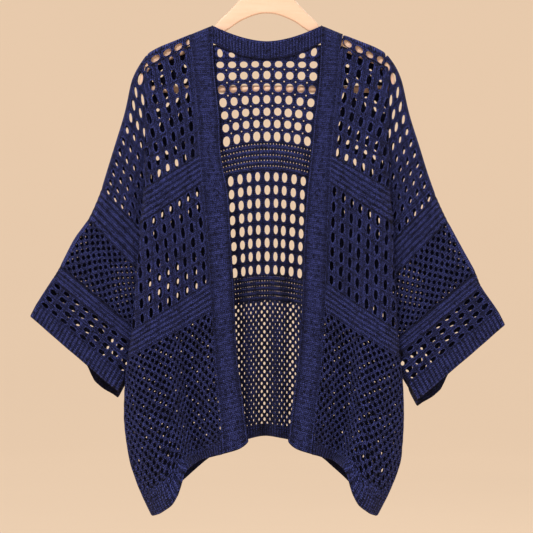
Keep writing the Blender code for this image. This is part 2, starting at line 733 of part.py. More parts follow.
def make_hook(material, collection):
    """A wire that rises from the crown, swings out and goes over the rail."""
    radius = HOOK_INSIDE + HOOK_WIRE / 2
    stem = [(0, STEM_DROP), (0, 50), (7, 43.5), (16, 35)]
    bend = [(radius * cos(radians(a)), HOOK_INSIDE - radius * sin(radians(a))) for a in range(-15, 206, 20)]
    curve = bpy.data.curves.new("hook", "CURVE")
    curve.dimensions = "3D"
    curve.bevel_depth = HOOK_WIRE / 2 * MM
    curve.bevel_resolution = 1
    curve.use_fill_caps = True
    curve.resolution_u = 1
    spline = curve.splines.new("BEZIER")
    spline.bezier_points.add(len(stem + bend) - 1)
    for point, (x, drop) in zip(spline.bezier_points, stem + bend):
        point.co = (x * MM, 0, -drop * MM)
        point.handle_left_type = point.handle_right_type = "AUTO"
    curve.materials.append(material)
    hook = bpy.data.objects.new("hook", curve)
    collection.objects.link(hook)
    return hook


# ---------- building ----------

def main():
    for obj in list(bpy.data.objects):
        bpy.data.objects.remove(obj)
    parts = bpy.data.collections.new("open_knit_cardigan")
    bpy.context.scene.collection.children.link(parts)
    yarn = make_material("navy_yarn", YARN, 0.85, 0.0)
    wood = make_material("pale_wood", WOOD, 0.45, 0.0)
    steel = make_material("hook_steel", STEEL, 0.3, 1.0)
    make_back("back", yarn, parts)
    make_neck_band("neck_band", yarn, parts)
    make_back_hem("hem_back", yarn, parts)
    for side, label in ((LEFT, "left"), (RIGHT, "right")):
        make_front(side, "front_" + label, yarn, parts)
        make_band(side, "band_" + label, yarn, parts)
        make_front_hem(side, "hem_" + label, yarn, parts)
        make_sleeve(side, -1, "sleeve_%s_front" % label, yarn, parts)
        make_sleeve(side, 1, "sleeve_%s_back" % label, yarn, parts)
        make_cuff(side, "cuff_" + label, yarn, parts)
    make_hanger_body(wood, parts)
    make_hanger_bar(wood, parts)
    make_hook(steel, parts)


main()
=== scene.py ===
from math import atan2, cos, pi, radians, sin
import bmesh
import bpy
import numpy as np
from mathutils import Matrix, Vector


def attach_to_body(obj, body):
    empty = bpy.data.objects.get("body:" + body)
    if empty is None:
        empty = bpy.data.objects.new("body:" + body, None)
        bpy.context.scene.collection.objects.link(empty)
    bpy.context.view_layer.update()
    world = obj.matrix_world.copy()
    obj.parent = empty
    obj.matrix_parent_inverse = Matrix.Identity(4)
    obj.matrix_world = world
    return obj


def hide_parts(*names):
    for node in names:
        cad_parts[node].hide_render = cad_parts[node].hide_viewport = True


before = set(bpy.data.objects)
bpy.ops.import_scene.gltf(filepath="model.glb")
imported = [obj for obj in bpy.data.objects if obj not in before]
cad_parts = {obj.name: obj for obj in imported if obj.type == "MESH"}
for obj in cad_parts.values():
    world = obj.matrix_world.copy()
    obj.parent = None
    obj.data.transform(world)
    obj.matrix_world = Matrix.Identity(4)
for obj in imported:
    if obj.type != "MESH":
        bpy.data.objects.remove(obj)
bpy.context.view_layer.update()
print("frame loaded")

mm = 0.001
left, right = -1, 1

# Where the cloth hangs, in millimetres: x out from the middle, drop below the rail, depth back from a plane
# 9 mm in front of the hanger. What the columns mean stands above each table.
drape = {
    "hangerDepth": 9, "wall": 2.4, "seam": 0.35, "overArm": 10.2, "underArm": 32,
    # two waves of small creases: height, width and lean of each
    "creases": {"front": (1.3, 9.5, 1.1, 0.9, 5.2, 2.3), "back": (1.5, 10.5, 1.4, 1, 6.1, 2),
                "sleeve": (0.9, 12, 0.6, 0.6, 6.3, 0.8)},
    # x, drop
    "shoulder": (
        (80, 123), (89, 126), (110, 135), (131, 143), (144, 148), (160, 154), (180, 162), (200, 175),
        (217, 195), (226, 219)),
    # v, drop at band, drop at side, band x left, right, side x left, right
    "courses": (
        (0, 143, 176, 128, 124, 194, 192), (0.4, 222, 263, 120, 117, 205, 205),
        (0.7, 284, 336, 114, 111, 206, 205), (1, 342, 400, 111, 106, 207, 205),
        (2, 386, 454, 107, 103, 211, 209), (2.5, 472, 539, 98, 99, 217, 213),
        (3, 552, 633, 93, 96, 225, 217), (4, 597, 674, 91, 95, 229, 219), (4.5, 706, 768, 82, 87, 233, 223),
        (4.8, 776, 838, 76, 79, 225, 219), (5, 812, 900, 73, 74, 204, 197), (6, 832, 934, 72, 72, 188, 180)),
    # v, depth at band, valley, ridge, outer, side, turn back, seam
    "frontDepth": (
        (0, -1.2, -1.2, -1.2, -1.2, -1.2, -6, -1.2), (0.15, -5, -4, -4, -3.2, -2, -6, -1.5),
        (0.4, -9, -9, -10, -9, -9, 5, -5), (0.7, -13, -13, -15, -15, -13, 10, -8),
        (1, -15, -15, -18, -19, -16, 12, -9.5), (2, -18, -17, -22, -24, -19, 12, -11),
        (3, -24, -20, -28, -30, -23, 12, -14), (4, -28, -20, -33, -34, -20, 8, -9),
        (4.3, -30, -16, -37, -34, -12, 1.5, 9.1), (5, -32, -8, -46, -36, -9, 1, 9.1),
        (6, -33, -4, -50, -37, -8, 1, 9.1)),
    "places": (0, 0.33, 0.53, 0.82, 1), "middleColumns": 4.5, "sideColumns": 9,
    # v, drop in the middle, column pitch, depth in the middle, behind the fronts, depth of the folds
    "back": (
        (0, 184, 19.4, -2.4, 19.2, 0), (0.35, 232, 18.6, -3, 19.8, 0), (0.6, 266, 17.6, 1, 21, 0),
        (1, 321, 16.4, 8, 23, 1), (2, 366, 15, 12, 25, 3), (3, 539, 13.2, 18, 29, 6),
        (4, 580, 12.8, 20, 30, 7), (5, 787, 12.4, 25, 32, 8), (6, 806, 12.4, 25, 32, 8)),
    "bow": 1.9, "foldPeriod": 46, "foldShift": -5, "neckDrop": 182, "neckRise": 25, "neckHalf": 86,
    "firstRow": 0.0144,
    # share of the way across a front's hem, lift at the valley and drop of the lobe
    "hemWave": ((0, 0), (0.16, 11), (0.38, 25), (0.50, 28), (0.63, 0), (0.74, -8), (0.87, -6), (1, 0)),
    # drop, inner x left, right, outer x left, right, depth
    "bands": (
        (124, 89, 89, 128, 124, -1.2), (150, 89, 89, 126, 121, -4.5), (165, 89, 89, 124, 119, -6.5),
        (215, 86, 87, 120, 117, -9.5), (284, 79, 79, 114, 111, -13.5), (337, 77, 74, 111, 106, -15.5),
        (415, 64, 66, 104, 102, -19), (498, 59, 61, 96, 98, -24), (587, 54, 58, 91, 95, -27),
        (674, 50, 53, 85, 90, -30), (763, 39, 42, 77, 80, -32), (831, 31, 35, 71.5, 71.5, -34)),
    "bandTop": 124, "bandBottom": 831, "bandSlant": 11, "bandCorner": 8,
    # w, x left, drop left, x right, drop right, slope, radius, depth, fullness
    "sleeves": (
        (0, 199, 174.5, 199, 174.5, 52, 7.2, 9, 0), (0.4, 204, 180.5, 204, 180.5, 51, 7.2, 9, 0),
        (1, 214, 195.5, 214, 194.5, 50, 7.2, 9, 0.5), (2, 225, 219, 224, 219, 49, 7.2, 9, 1),
        (3, 229, 243, 229, 245, 48, 7, 9, 1.5), (4, 234, 266, 234, 268, 47, 6.8, 9, 2),
        (6, 250, 319, 251, 322, 46, 6.6, 8.5, 3), (8, 266, 371, 267, 374, 46, 6.4, 8, 4),
        (9, 274, 397, 280, 409, 46, 6.2, 8, 4.5), (10, 295, 445, 298, 448, 46, 6, 8, 5),
        (11, 318, 478, 321, 491, 43, 5.8, 7.5, 6.5), (12, 342, 524, 345, 535, 40, 5.6, 7, 8),
        (13, 354, 544, 354, 557, 39, 5.5, 6.5, 8.5), (14, 379, 583, 380, 595, 39.5, 5.4, 6, 9.5),
        (15, 391, 606, 393, 620, 40.5, 5.4, 6, 10.5)),
    "armpit": 12.4, "cuffLength": 187, "cuffLag": 19,
    # drop, x
    "armhole": (
        (170, 190), (230, 192), (300, 193), (400, 194), (540, 203), (633, 211), (680, 216), (760, 222)),
}


# values between the rows of a table, eased, level at a high or low point
def lookUp(table, at):
    data = np.array(table, float)
    keys, values = data[:, 0], data[:, 1:]
    at = np.clip(np.atleast_1d(np.asarray(at, float)), keys[0], keys[-1])
    rises = np.diff(values, axis=0) / np.diff(keys)[:, None]
    slopes = np.vstack([rises[:1], rises[1:] * 0, rises[-1:]])
    same = rises[:-1] * rises[1:] > 0
    total = np.where(same, rises[:-1] + rises[1:], 1.0)
    slopes[1:-1] = np.where(same, 2 * rises[:-1] * rises[1:] / total, 0.0)
    i = np.clip(np.searchsorted(keys, at, side="right") - 1, 0, len(keys) - 2)
    span = (keys[i + 1] - keys[i])[:, None]
    t = (at - keys[i])[:, None] / span
    found = ((2 * t**3 - 3 * t**2 + 1) * values[i] + (t**3 - 2 * t**2 + t) * span * slopes[i]
             + (3 * t**2 - 2 * t**3) * values[i + 1] + (t**3 - t**2) * span * slopes[i + 1])
    return found.T


def mixed(a, b, t):
    return a + (b - a) * t


# from 0 to 1 from start on, over a given span
def ramp(value, start, span):
    return np.clip((value - start) / span, 0.0, 1.0)


# the same, eased at both ends
def fade(value, start, span):
    t = ramp(value, start, span)
    return t * t * (3 - 2 * t)


def creases(piece, across, down, shift=0):
    high, wide, lean, secondHigh, secondWide, secondLean = drape["creases"][piece]
    return high * np.sin(across / wide + lean * down + shift) + secondHigh * np.sin(
        across / secondWide - secondLean * down)


# share of the way that cloth has turned down after rolling over an edge
def rolled(distance, radius):
    return np.sqrt(np.maximum(1 - (1 - ramp(distance, 0, radius)) ** 2, 0.0))


def shoulderDrop(x):
    return lookUp(drape["shoulder"], np.abs(x))[0]


# one course of a front panel after another, seen from above, as points spaced evenly by length
class FrontCourses:
    def __init__(self, side):
        self.vs = np.linspace(0, 6, 241)
        courses = lookUp(drape["courses"], self.vs)
        depths = lookUp(drape["frontDepth"], self.vs)
        self.bandX = courses[2 if side == left else 3] + 2 * drape["seam"]
        self.sideX = courses[4 if side == left else 5] - drape["wall"]
        controls = [np.stack([mixed(self.bandX, self.sideX, place), depths[k]], 1)
                    for k, place in enumerate(drape["places"])]
        controls.append(np.stack([self.sideX - depths[5], depths[6]], 1))
        line = self.smoothLine(controls, 10)
        steps = np.linalg.norm(np.diff(line, axis=1), axis=2)
        lengths = np.concatenate([np.zeros((len(self.vs), 1)), np.cumsum(steps, axis=1)], 1)
        self.total = lengths[:, -1]
        share = np.linspace(0, 1, 241)
        self.x, self.y = [np.array([np.interp(share * row[-1], row, points[:, axis])
                                    for row, points in zip(lengths, line)]) for axis in (0, 1)]

    def smoothLine(self, controls, steps):
        last = len(controls) - 1
        points = []
        for i in range(last):
            a, b = controls[max(i - 1, 0)], controls[i]
            c, d = controls[i + 1], controls[min(i + 2, last)]
            for k in range(steps):
                t = k / steps
                points.append(0.5 * (2 * b + (c - a) * t + (2 * a - 5 * b + 4 * c - d) * t * t
                                     + (3 * b - a - 3 * c + d) * t**3))
        points.append(controls[-1])
        return np.stack(points, 1)

    def at(self, distance, v):
        row = np.clip(v, 0, 6) / 6 * 240
        i = np.minimum(row.astype(int), 239)
        t = row - i
        total = mixed(self.total[i], self.total[i + 1], t)
        beyond = np.minimum(distance, 0)
        column = np.clip(distance / total, 0, 1) * 240
        j = np.minimum(column.astype(int), 239)
        s = column - j

        def between(grid):
            above, below = mixed(grid[i, j], grid[i, j + 1], s), mixed(grid[i + 1, j], grid[i + 1, j + 1], s)
            return mixed(above, below, t)

        bandX, sideX = [mixed(edge[i], edge[i + 1], t) for edge in (self.bandX, self.sideX)]
        return between(self.x) + beyond, between(self.y), bandX, sideX

    def length(self, v):
        return np.interp(v, self.vs, self.total)


frontCourses = {left: FrontCourses(left), right: FrontCourses(right)}


# a front panel: distance from the band's seam, v down the panel
def frontSurface(side, distance, v):
    x, y, bandX, sideX = frontCourses[side].at(distance, v)
    dropBand, dropSide = lookUp(drape["courses"], v)[:2]
    across = np.minimum((x - bandX) / (sideX - bandX), 1.0)
    top = shoulderDrop(x) + drape["wall"]
    drop = mixed(dropBand, dropSide, across) + drape["wall"] * (1 - np.minimum(v * 6, 1))
    drop = drop - lookUp(drape["hemWave"], across)[0] * fade(v, 4.2, 1.6)
    drop = np.where(v > 0, np.maximum(drop, top), top)
    turned = rolled(drop - top, drape["overArm"])
    y = y + (drape["hangerDepth"] - drape["seam"] - y) * (1 - turned)
    creased = fade(v, 0.4, 1.5) * fade(distance, 0, 25) * fade(sideX - x, 0, 25)
    y = y + creased * creases("front", distance, v, side)
    return np.stack([side * x, y, -drop], 1)


def bandSurface(side, u, drop):
    row = lookUp(drape["bands"], drop)
    inner, outer = (row[0], row[2]) if side == left else (row[1], row[3])
    depth = row[4]
    x = mixed(inner, outer, u)
    top = shoulderDrop(x) + drape["wall"]
    start = drape["bandTop"]
    level = start + 60
    hang = np.where(drop > level, drop, mixed(top, level, (drop - start) / (level - start)))
    y = depth + (drape["hangerDepth"] - depth) * (1 - rolled(hang - top, drape["overArm"]))
    hang = hang - drape["bandSlant"] * (1 - u) * (drop - start) / (drape["bandBottom"] - start)
    hang = hang - drape["bandCorner"] * np.maximum(1 - u / 0.45, 0) ** 2 * fade(drop, 790, 41)
    return np.stack([side * x, y, -hang], 1)


def neckSeam(x):
    return drape["neckDrop"] - drape["neckRise"] * np.minimum(np.abs(x) / drape["neckHalf"], 1.02) ** 2


def underArm(x):
    return shoulderDrop(x) + drape["underArm"]


def backTop(x):
    return mixed(drape["neckDrop"], underArm(x), fade(np.abs(x), 105, 30))


def backEdge(x):
    return mixed(neckSeam(x), underArm(x), fade(np.abs(x), 86, 12))


# the back: c counts columns from the middle out to the side and on to the armhole, v runs down
def backSurface(c, v):
    side = np.where(c < 0, -1.0, 1.0)
    rows = lookUp(drape["back"], v)
    dropMiddle, pitch, centreY, outerY, fold = rows
    courses = lookUp(drape["courses"], v)
    sideX = np.where(side < 0, courses[4], courses[5]) - drape["wall"]
    middle, sides = drape["middleColumns"], drape["sideColumns"]
    beyond = np.abs(c) - middle
    far = mixed(pitch * middle, sideX, ramp(beyond, 0, sides))
    x = side * np.where(beyond <= 0, pitch * np.abs(c), far)
    out = np.abs(x)
    past = ramp(beyond, sides, 1)
    depths = lookUp(drape["frontDepth"], v)
    turn, seamY = depths[5], 2 * drape["hangerDepth"] - depths[6]
    y = mixed(centreY, outerY, fade(out, 84, 40))
    calm = 1 - 0.7 * fade(out, 60, 60)
    y = y + fold * np.cos(2 * pi * (x - drape["foldShift"]) / drape["foldPeriod"]) * calm
    y = y + fade(v, 0.8, 2) * fade(sideX - out, 0, 40) * fade(out, 70, 30) * creases("back", x, v)
    nearSide = fade(out - sideX, -26, 26)
    edgeY = mixed(outerY, seamY, np.where(turn > 2.5, 0.45, 0.3))
    y = mixed(y, edgeY, nearSide)
    bow = (out / sideX) ** drape["bow"]
    drop = mixed(dropMiddle, courses[1], bow)
    lastRow = mixed(lookUp(drape["back"], 1.0)[0], lookUp(drape["courses"], 1.0)[1], bow)
    first = drape["firstRow"]
    straight = mixed(backTop(x), lastRow, v)
    start = mixed(backEdge(x), mixed(backTop(x), lastRow, first), np.maximum(v, 0) / first)
    drop = np.where(v < first, start, np.where(v < 1, straight, drop))
    y = np.where(past > 0, mixed(edgeY, seamY, past), y)
    x = x - side * turn * past
    line = shoulderDrop(x) + drape["wall"]
    over = mixed(backEdge(x), line, np.minimum(-v, 1.0))
    drop = np.where(v < 0, over, drop)
    turned = rolled(drop - line, drape["overArm"])
    y = np.where(v < 0, y + (drape["hangerDepth"] + drape["seam"] - y) * (1 - turned), y)
    return np.stack([x, y, -drop], 1)


# how far a course of a sleeve runs from the top fold to the armhole
def courseLength(side, w):
    row = lookUp(drape["sleeves"], w)
    x, drop = (row[0], row[1]) if side == left else (row[2], row[3])
    slope = np.radians(row[4])
    length = np.zeros_like(x)
    for _ in range(12):
        reach = drop + (length + drape["wall"]) * np.sin(slope)
        length = np.maximum((x - lookUp(drape["armhole"], reach)[0]) / np.cos(slope) - drape["wall"], 0.0)
    return np.minimum(length, drape["cuffLength"])


courseSteps = np.linspace(0, 15, 301)
courseLengths = {side: courseLength(side, courseSteps) for side in (left, right)}


# a sleeve wall: face -1 in front, 1 behind; c runs in from the silhouette, w from the shoulder to the cuff
def sleeveSurface(side, face, c, w):
    row = lookUp(drape["sleeves"], w)
    x, drop = (row[0], row[1]) if side == left else (row[2], row[3])
    slope, radius, centre, fullness = row[4:]
    length = np.interp(w, courseSteps, courseLengths[side])
    close = fade(w, drape["armpit"], 0.8)
    inward = c + drape["wall"]
    half = radius * rolled(c, radius) + fullness * fade(c, 0, 70) * rolled(c, 40)
    half = half * mixed(1.0, rolled(length - c, 14.0), close)
    half = half + fade(w, 3, 4) * fade(c, 0, 30) * fade(length - c, 0, 25) * creases("sleeve", c, w, face)
    # the wall behind hangs lower at the cuff
    inner = c / np.maximum(length, 1)
    lag = drape["cuffLag"] * fade(inner, 0.6, 0.14) * (1 - 0.3 * fade(inner, 0.8, 0.2)) * fade(w, 11.5, 3)
    lag = lag * (face > 0) * np.where(c >= length, mixed(1.0, 0.55, close), 1.0)
    half = half + mixed(-0.5, drape["seam"] * 0.5, ramp(c, 0, 4))
    turn = np.radians(slope)
    return np.stack([side * (x - inward * np.cos(turn)), centre + face * half,
                     -(drop + inward * np.sin(turn) + lag)], 1)


# Knitting is made flat, in millimetres, x across and y down the piece.
knit = {
    # height left beside the holes as a share of the yarn's, and the depth of the groove; the yarn left low
    # there is also painted darker, as shade in the grooves
    "groove": 0.3, "netGroove": 0.45, "grooveDepth": 0.9,
    # how far cells and meshes are out of place, and how much their size varies
    "uneven": (0.35, 0.4, 0.07, 0.07), "netUneven": 0.35,
    # painted shade: lightness between ridges, on the hidden inner side at the shoulders and further down, and
    # low on the back's inner side
    "between": 0.12, "insideShadeTop": 0.6, "inside": 0.12, "backLowShade": 0.65,
    # the back's inner side is seen up to this far out, with painted shade in a hollow low in the middle
    "openTo": 84, "hollowShade": 0.55, "hollowAt": -3, "hollowWide": 14, "hollowTop": 560,
    # how much more cloth the round strands have than their flat outline, and the least share of a piece's cut
    "roundness": 1.35, "netRoundness": 1.5, "leastCloth": 0.301,
}


def evenly(start, stop, count):
    return [start + (stop - start) * k / count for k in range(count + 1)]


# the attribute made here holds how high the yarn stands; hang then stores in it the yarn's lightness, with
# painted shade
def startKnitting():
    bm = bmesh.new()
    bm.verts.layers.float.new("raised")
    return bm


# a grid of cells at the given places; hole(i, j) gives the strand left round a cell, and the hole's width and
# height as shares of the room, and its lean, or None where the cloth is plain
def knitCells(bm, xs, ys, hole=None, keep=None, seed=1):
    raised = bm.verts.layers.float["raised"]
    made = bmesh.ops.create_grid(bm, x_segments=len(xs) - 1, y_segments=len(ys) - 1, size=0.5)["verts"]
    faces = list({face for vert in made for face in vert.link_faces})
    for vert in made:
        i = round((vert.co.x + 0.5) * (len(xs) - 1))
        j = round((vert.co.y + 0.5) * (len(ys) - 1))
        vert.co = (xs[i], ys[j], 0)
        vert[raised] = 1.0
    placed = []
    for face in faces:
        centre = face.calc_center_median()
        placed.append((int(np.searchsorted(xs, centre.x)) - 1, int(np.searchsorted(ys, centre.y)) - 1, face))
    placed.sort(key=lambda cell: cell[:2])
    if keep:
        bmesh.ops.delete(bm, geom=[face for i, j, face in placed if not keep(i, j)], context="FACES")
        placed = [cell for cell in placed if keep(cell[0], cell[1])]
    holes = [(face, hole(i, j)) for i, j, face in placed if hole and hole(i, j)]
    # the cells' corners are set low, which sinks them and paints them darker as shade
    for face, _ in holes:
        for vert in face.verts:
            vert[raised] = knit["groove"]
    for strand in sorted({shape[0] for _, shape in holes}):
        bmesh.ops.inset_individual(bm, faces=[face for face, shape in holes if shape[0] == strand],
                                   thickness=strand, use_even_offset=True)
    uneven = np.random.RandomState(seed)
    for face, (_, wide, tall, lean) in holes:
        centre = face.calc_center_median()
        shift = uneven.uniform(-1, 1, 4) * knit["uneven"]
        for vert in face.verts:
            x, y = vert.co.x - centre.x, vert.co.y - centre.y
            vert.co = (centre.x + shift[0] + x * (wide + shift[2]) + y * lean,
                       centre.y + shift[1] + y * (tall + shift[3]) + x * lean, 0)
            vert[raised] = 1.0
    bmesh.ops.delete(bm, geom=[face for face, _ in holes], context="FACES")


# small holes where the strands cross
def pierceCrossings(bm, inside, offset):
    crossings = [vert for vert in bm.verts if len(vert.link_edges) == 8 and inside(vert.co.x, vert.co.y)]
    made = bmesh.ops.bevel(bm, geom=crossings, offset=offset, affect="VERTICES", segments=1, profile=0.5,
                           material=-1)
    bmesh.ops.delete(bm, geom=[face for face in made["faces"] if len(face.verts) == 8], context="FACES_ONLY")


# a net of staggered holes that fills a rectangle; strand(x, y) is half the width of the yarn there
def knitNet(bm, x0, x1, y0, y1, pitch, row, strand, keep=None, seed=1):
    raised = bm.verts.layers.float["raised"]
    size = int((x1 - x0) / pitch + (y1 - y0) / row / 2) + 4
    made = bmesh.ops.create_grid(bm, x_segments=size, y_segments=size, size=size / 2)["verts"]
    bmesh.ops.rotate(bm, verts=made, cent=(0, 0, 0), matrix=Matrix.Rotation(radians(45), 3, "Z"))
    bmesh.ops.scale(bm, verts=made, vec=(pitch * 0.70711, row * 1.41421, 1))
    bmesh.ops.translate(bm, verts=made, vec=((x0 + x1) / 2, (y0 + y1) / 2, 0))
    faces = list({face for vert in made for face in vert.link_faces})
    inside, outside = [], []
    for face in faces:
        centre = face.calc_center_median()
        kept = x0 < centre.x < x1 and y0 < centre.y < y1 and (keep is None or keep(centre.x, centre.y))
        (inside if kept else outside).append(face)
    bmesh.ops.delete(bm, geom=outside, context="FACES")
    inside.sort(key=lambda face: (round(face.calc_center_median().y, 2), face.calc_center_median().x))
    bySize = {}
    for face in inside:
        centre = face.calc_center_median()
        # the net's crossings are set low, which sinks them and paints them darker as shade
        for vert in face.verts:
            vert[raised] = knit["netGroove"]
        bySize.setdefault(round(strand(centre.x, centre.y) * 5) / 5, []).append(face)
    for thickness, holes in sorted(bySize.items()):
        bmesh.ops.inset_individual(bm, faces=holes, thickness=thickness, use_even_offset=True)
    uneven = np.random.RandomState(seed)
    for face in inside:
        shift = Vector((*uneven.uniform(-knit["netUneven"], knit["netUneven"], 2), 0))
        for vert in face.verts:
            vert.co += shift
            vert[raised] = 1.0
    bmesh.ops.delete(bm, geom=inside, context="FACES")


# waves across count ribs or ridges, from 0 to 1
def ribs(at, length, count):
    return np.sin(at / length * count * pi) ** 2


# height across a piece's bands of ridges, and of the net that stands as high
def ridgesOf(style):
    def relief(x, y):
        lift = np.zeros_like(y)
        for start, stop, count in style["ridgeBands"]:
            t = (y - start) / (stop - start)
            lift = np.where((t > -0.03) & (t < 1.03), style["ridge"] * ribs(t, 1, count), lift)
        top, bottom = style["highNet"]
        return np.where((y > top) & (y < bottom), style["ridge"], lift)

    return relief


def link(name, data):
    placed = bpy.data.objects.new(name, data)
    bpy.context.scene.collection.objects.link(placed)
    return placed


def makePiece(name, bm, material, mesh=None):
    mesh = mesh or bpy.data.meshes.new(name)
    bm.to_mesh(mesh)
    bm.free()
    mesh.materials.append(material)
    mesh.shade_smooth()
    return link(name, mesh)


def attach(piece, node, slot):
    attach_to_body(piece, "root")
    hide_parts(node)


# Gives the flat knitting two layers and its stitch map and lays it on a surface. cloth is how far its two sides
# stand off the surface, and its flat size. The yarn's height attribute ends as the yarn's lightness, with
# painted shade.
def hang(name, node, bm, surface, outward, cloth, material, restsOn, relief=None, level=1, bothSides=False,
         roundness=knit["roundness"], area=None):
    (under, over), flat = cloth
    area = area or sum(face.calc_area() for face in bm.faces) * mm * mm
    made = bmesh.ops.extrude_face_region(bm, geom=bm.faces[:], use_keep_orig=True)["geom"]
    outer = {item for item in made if isinstance(item, bmesh.types.BMVert)}
    raised = bm.verts.layers.float["raised"]
    stitches = bm.loops.layers.uv.new("stitches")
    for face in bm.faces:
        for loop in face.loops:
            loop[stitches].uv = (loop.vert.co.x * mm, loop.vert.co.y * mm)
    x = np.array([vert.co.x for vert in bm.verts])
    y = np.array([vert.co.y for vert in bm.verts])
    top = np.array([vert in outer for vert in bm.verts])
    high = np.array([vert[raised] for vert in bm.verts])
    step = 0.6
    here = surface(x, y)
    across = surface(x + step, y) - surface(x - step, y)
    down = surface(x, y + step) - surface(x, y - step)
    normal = np.cross(across, down) * outward
    normal /= np.maximum(np.linalg.norm(normal, axis=1), 1e-9)[:, None]
    lift = relief(x, y) if relief else np.zeros_like(x)
    # the relief's share also paints the yarn between ridges darker, as shade
    share = np.clip(lift / lift.max(), 0, 1) if relief else np.ones_like(x)
    groove = knit["grooveDepth"] * (1 - high)
    height = np.where(top, over + lift - groove, under - (lift - groove if bothSides else 0))
    placed = (here + normal * height[:, None] - np.array([0, drape["hangerDepth"], 0])) * mm
    drop = -here[:, 2]
    # beyond this mask the inner side is painted flat dark, as the garment's inside in shadow
    seen = top | (bothSides & (np.abs(here[:, 0]) < knit["openTo"]))
    # painted shade in the fold's hollow low in the back's middle
    hollowShade = knit["hollowShade"] * np.exp(-((here[:, 0] - knit["hollowAt"]) / knit["hollowWide"]) ** 2)
    hollowShade = hollowShade * fade(drop, knit["hollowTop"], 60)
    # painted shadow, darker low on the back's inner side and in its hollow
    shadow = np.where(top, 1.0, mixed(1.0, knit["backLowShade"], fade(drop, 250, 300)) * (1 - hollowShade))
    # painted shade for the inner sides, lighter at the shoulders
    inside = mixed(knit["insideShadeTop"], knit["inside"], fade(drop, 150, 50))
    # the yarn's lightness: its height, painted darker between ridges and by the painted shadow
    shade = np.where(seen, high * mixed(knit["between"], 1.0, share) * shadow, inside)
    for vert, point, value in zip(bm.verts, placed, shade):
        vert.co = point
        vert[raised] = value
    bmesh.ops.recalc_face_normals(bm, faces=bm.faces)
    piece = makePiece(name, bm, material)
    smooth = piece.modifiers.new("softStrands", "SUBSURF")
    smooth.levels = smooth.render_levels = level
    attach(piece, node, "navy_rib" if material == ribYarn else "navy_yarn")
    whole = flat[0] * flat[1]
    area = min(max(area * roundness, knit["leastCloth"] * whole), whole)
    print(name, len(piece.data.vertices), "vertices")


# shader values that add up like numbers
class Value:
    def __init__(self, tree, socket):
        self.tree, self.socket = tree, socket

    def math(self, operation, other=None, swap=False):
        values = [other, self] if swap else [self, other]
        node = makeNode(self.tree, "ShaderNodeMath", {"operation": operation},
                        {k: value for k, value in enumerate(values) if value is not None})
        return Value(self.tree, node.outputs[0])

    def __add__(self, other):
        return self.math("ADD", other)

    def __radd__(self, other):
        return self.math("ADD", other)

    def __sub__(self, other):
        return self.math("SUBTRACT", other)

    def __rsub__(self, other):
        return self.math("SUBTRACT", other, swap=True)

    def __mul__(self, other):
        return self.math("MULTIPLY", other)

    def __rmul__(self, other):
        return self.math("MULTIPLY", other)

    def __pow__(self, other):
        return self.math("POWER", other)


def makeNode(tree, kind, settings=None, values=None):
    node = tree.nodes.new(kind)
    for key, setting in (settings or {}).items():
        if key == "stops":
            elements = node.color_ramp.elements
            while len(elements) < len(setting):
                elements.new(0.5)
            for element, (place, colour) in zip(elements, setting):
                element.position, element.color = place, colour
        else:
            setattr(node, key, setting)
    for key, value in (values or {}).items():
        socket = node.inputs[key]
        if isinstance(value, Value):
            tree.links.new(value.socket, socket)
        elif isinstance(value, bpy.types.NodeSocket):
            tree.links.new(value, socket)
        else:
            socket.default_value = value
    return node


def noise(tree, where, scale, detail, distortion=0.0):
    node = makeNode(tree, "ShaderNodeTexNoise", values={
        "Vector": where, "Scale": scale, "Detail": detail, "Distortion": distortion})
    return Value(tree, node.outputs[0])


def startMaterial(name, colour, surface):
    material = bpy.data.materials.new(name)
    material.use_nodes = True
    tree = material.node_tree
    shader = tree.nodes["Principled BSDF"]
    for key, value in {"Base Color": colour, **surface}.items():
        shader.inputs[key].default_value = value
    return material, tree, shader


# colours the shader by its shade and roughens it by a bump
def finishMaterial(tree, shader, stops, shade, strength, distance, height):
    colours = makeNode(tree, "ShaderNodeValToRGB", {"stops": stops}, {0: shade})
    tree.links.new(colours.outputs[0], shader.inputs["Base Color"])
    bump = makeNode(tree, "ShaderNodeBump", values={
        "Strength": strength, "Distance": distance, "Height": height})
    tree.links.new(bump.outputs[0], shader.inputs["Normal"])


yarn = {
    "dark": (0.0012, 0.0016, 0.006, 1), "middle": (0.0175, 0.0245, 0.118, 1),
    "light": (0.058, 0.078, 0.33, 1),
    "surface": {"Roughness": 0.85, "Sheen Weight": 0.03, "Sheen Roughness": 0.5, "Specular IOR Level": 0.12},
    "stitchWide": 4.3, "stitchTall": 3.1, "wobble": 1.1, "slant": 1.3, "bump": 0.9, "bumpDepth": 0.002,
    # how much the shade takes from the stitch, which paints shade into the gaps between loops, the fuzz, each
    # stitch's own tone and the wide patches
    "stitchShade": 1.3, "fuzzTone": 1.9, "ownTone": 0.45, "patchTone": 0.6,
    # share of stitches painted darker, as the shade of small pinholes, and by how much
    "darkStitches": 0.08, "darker": 0.2,
}


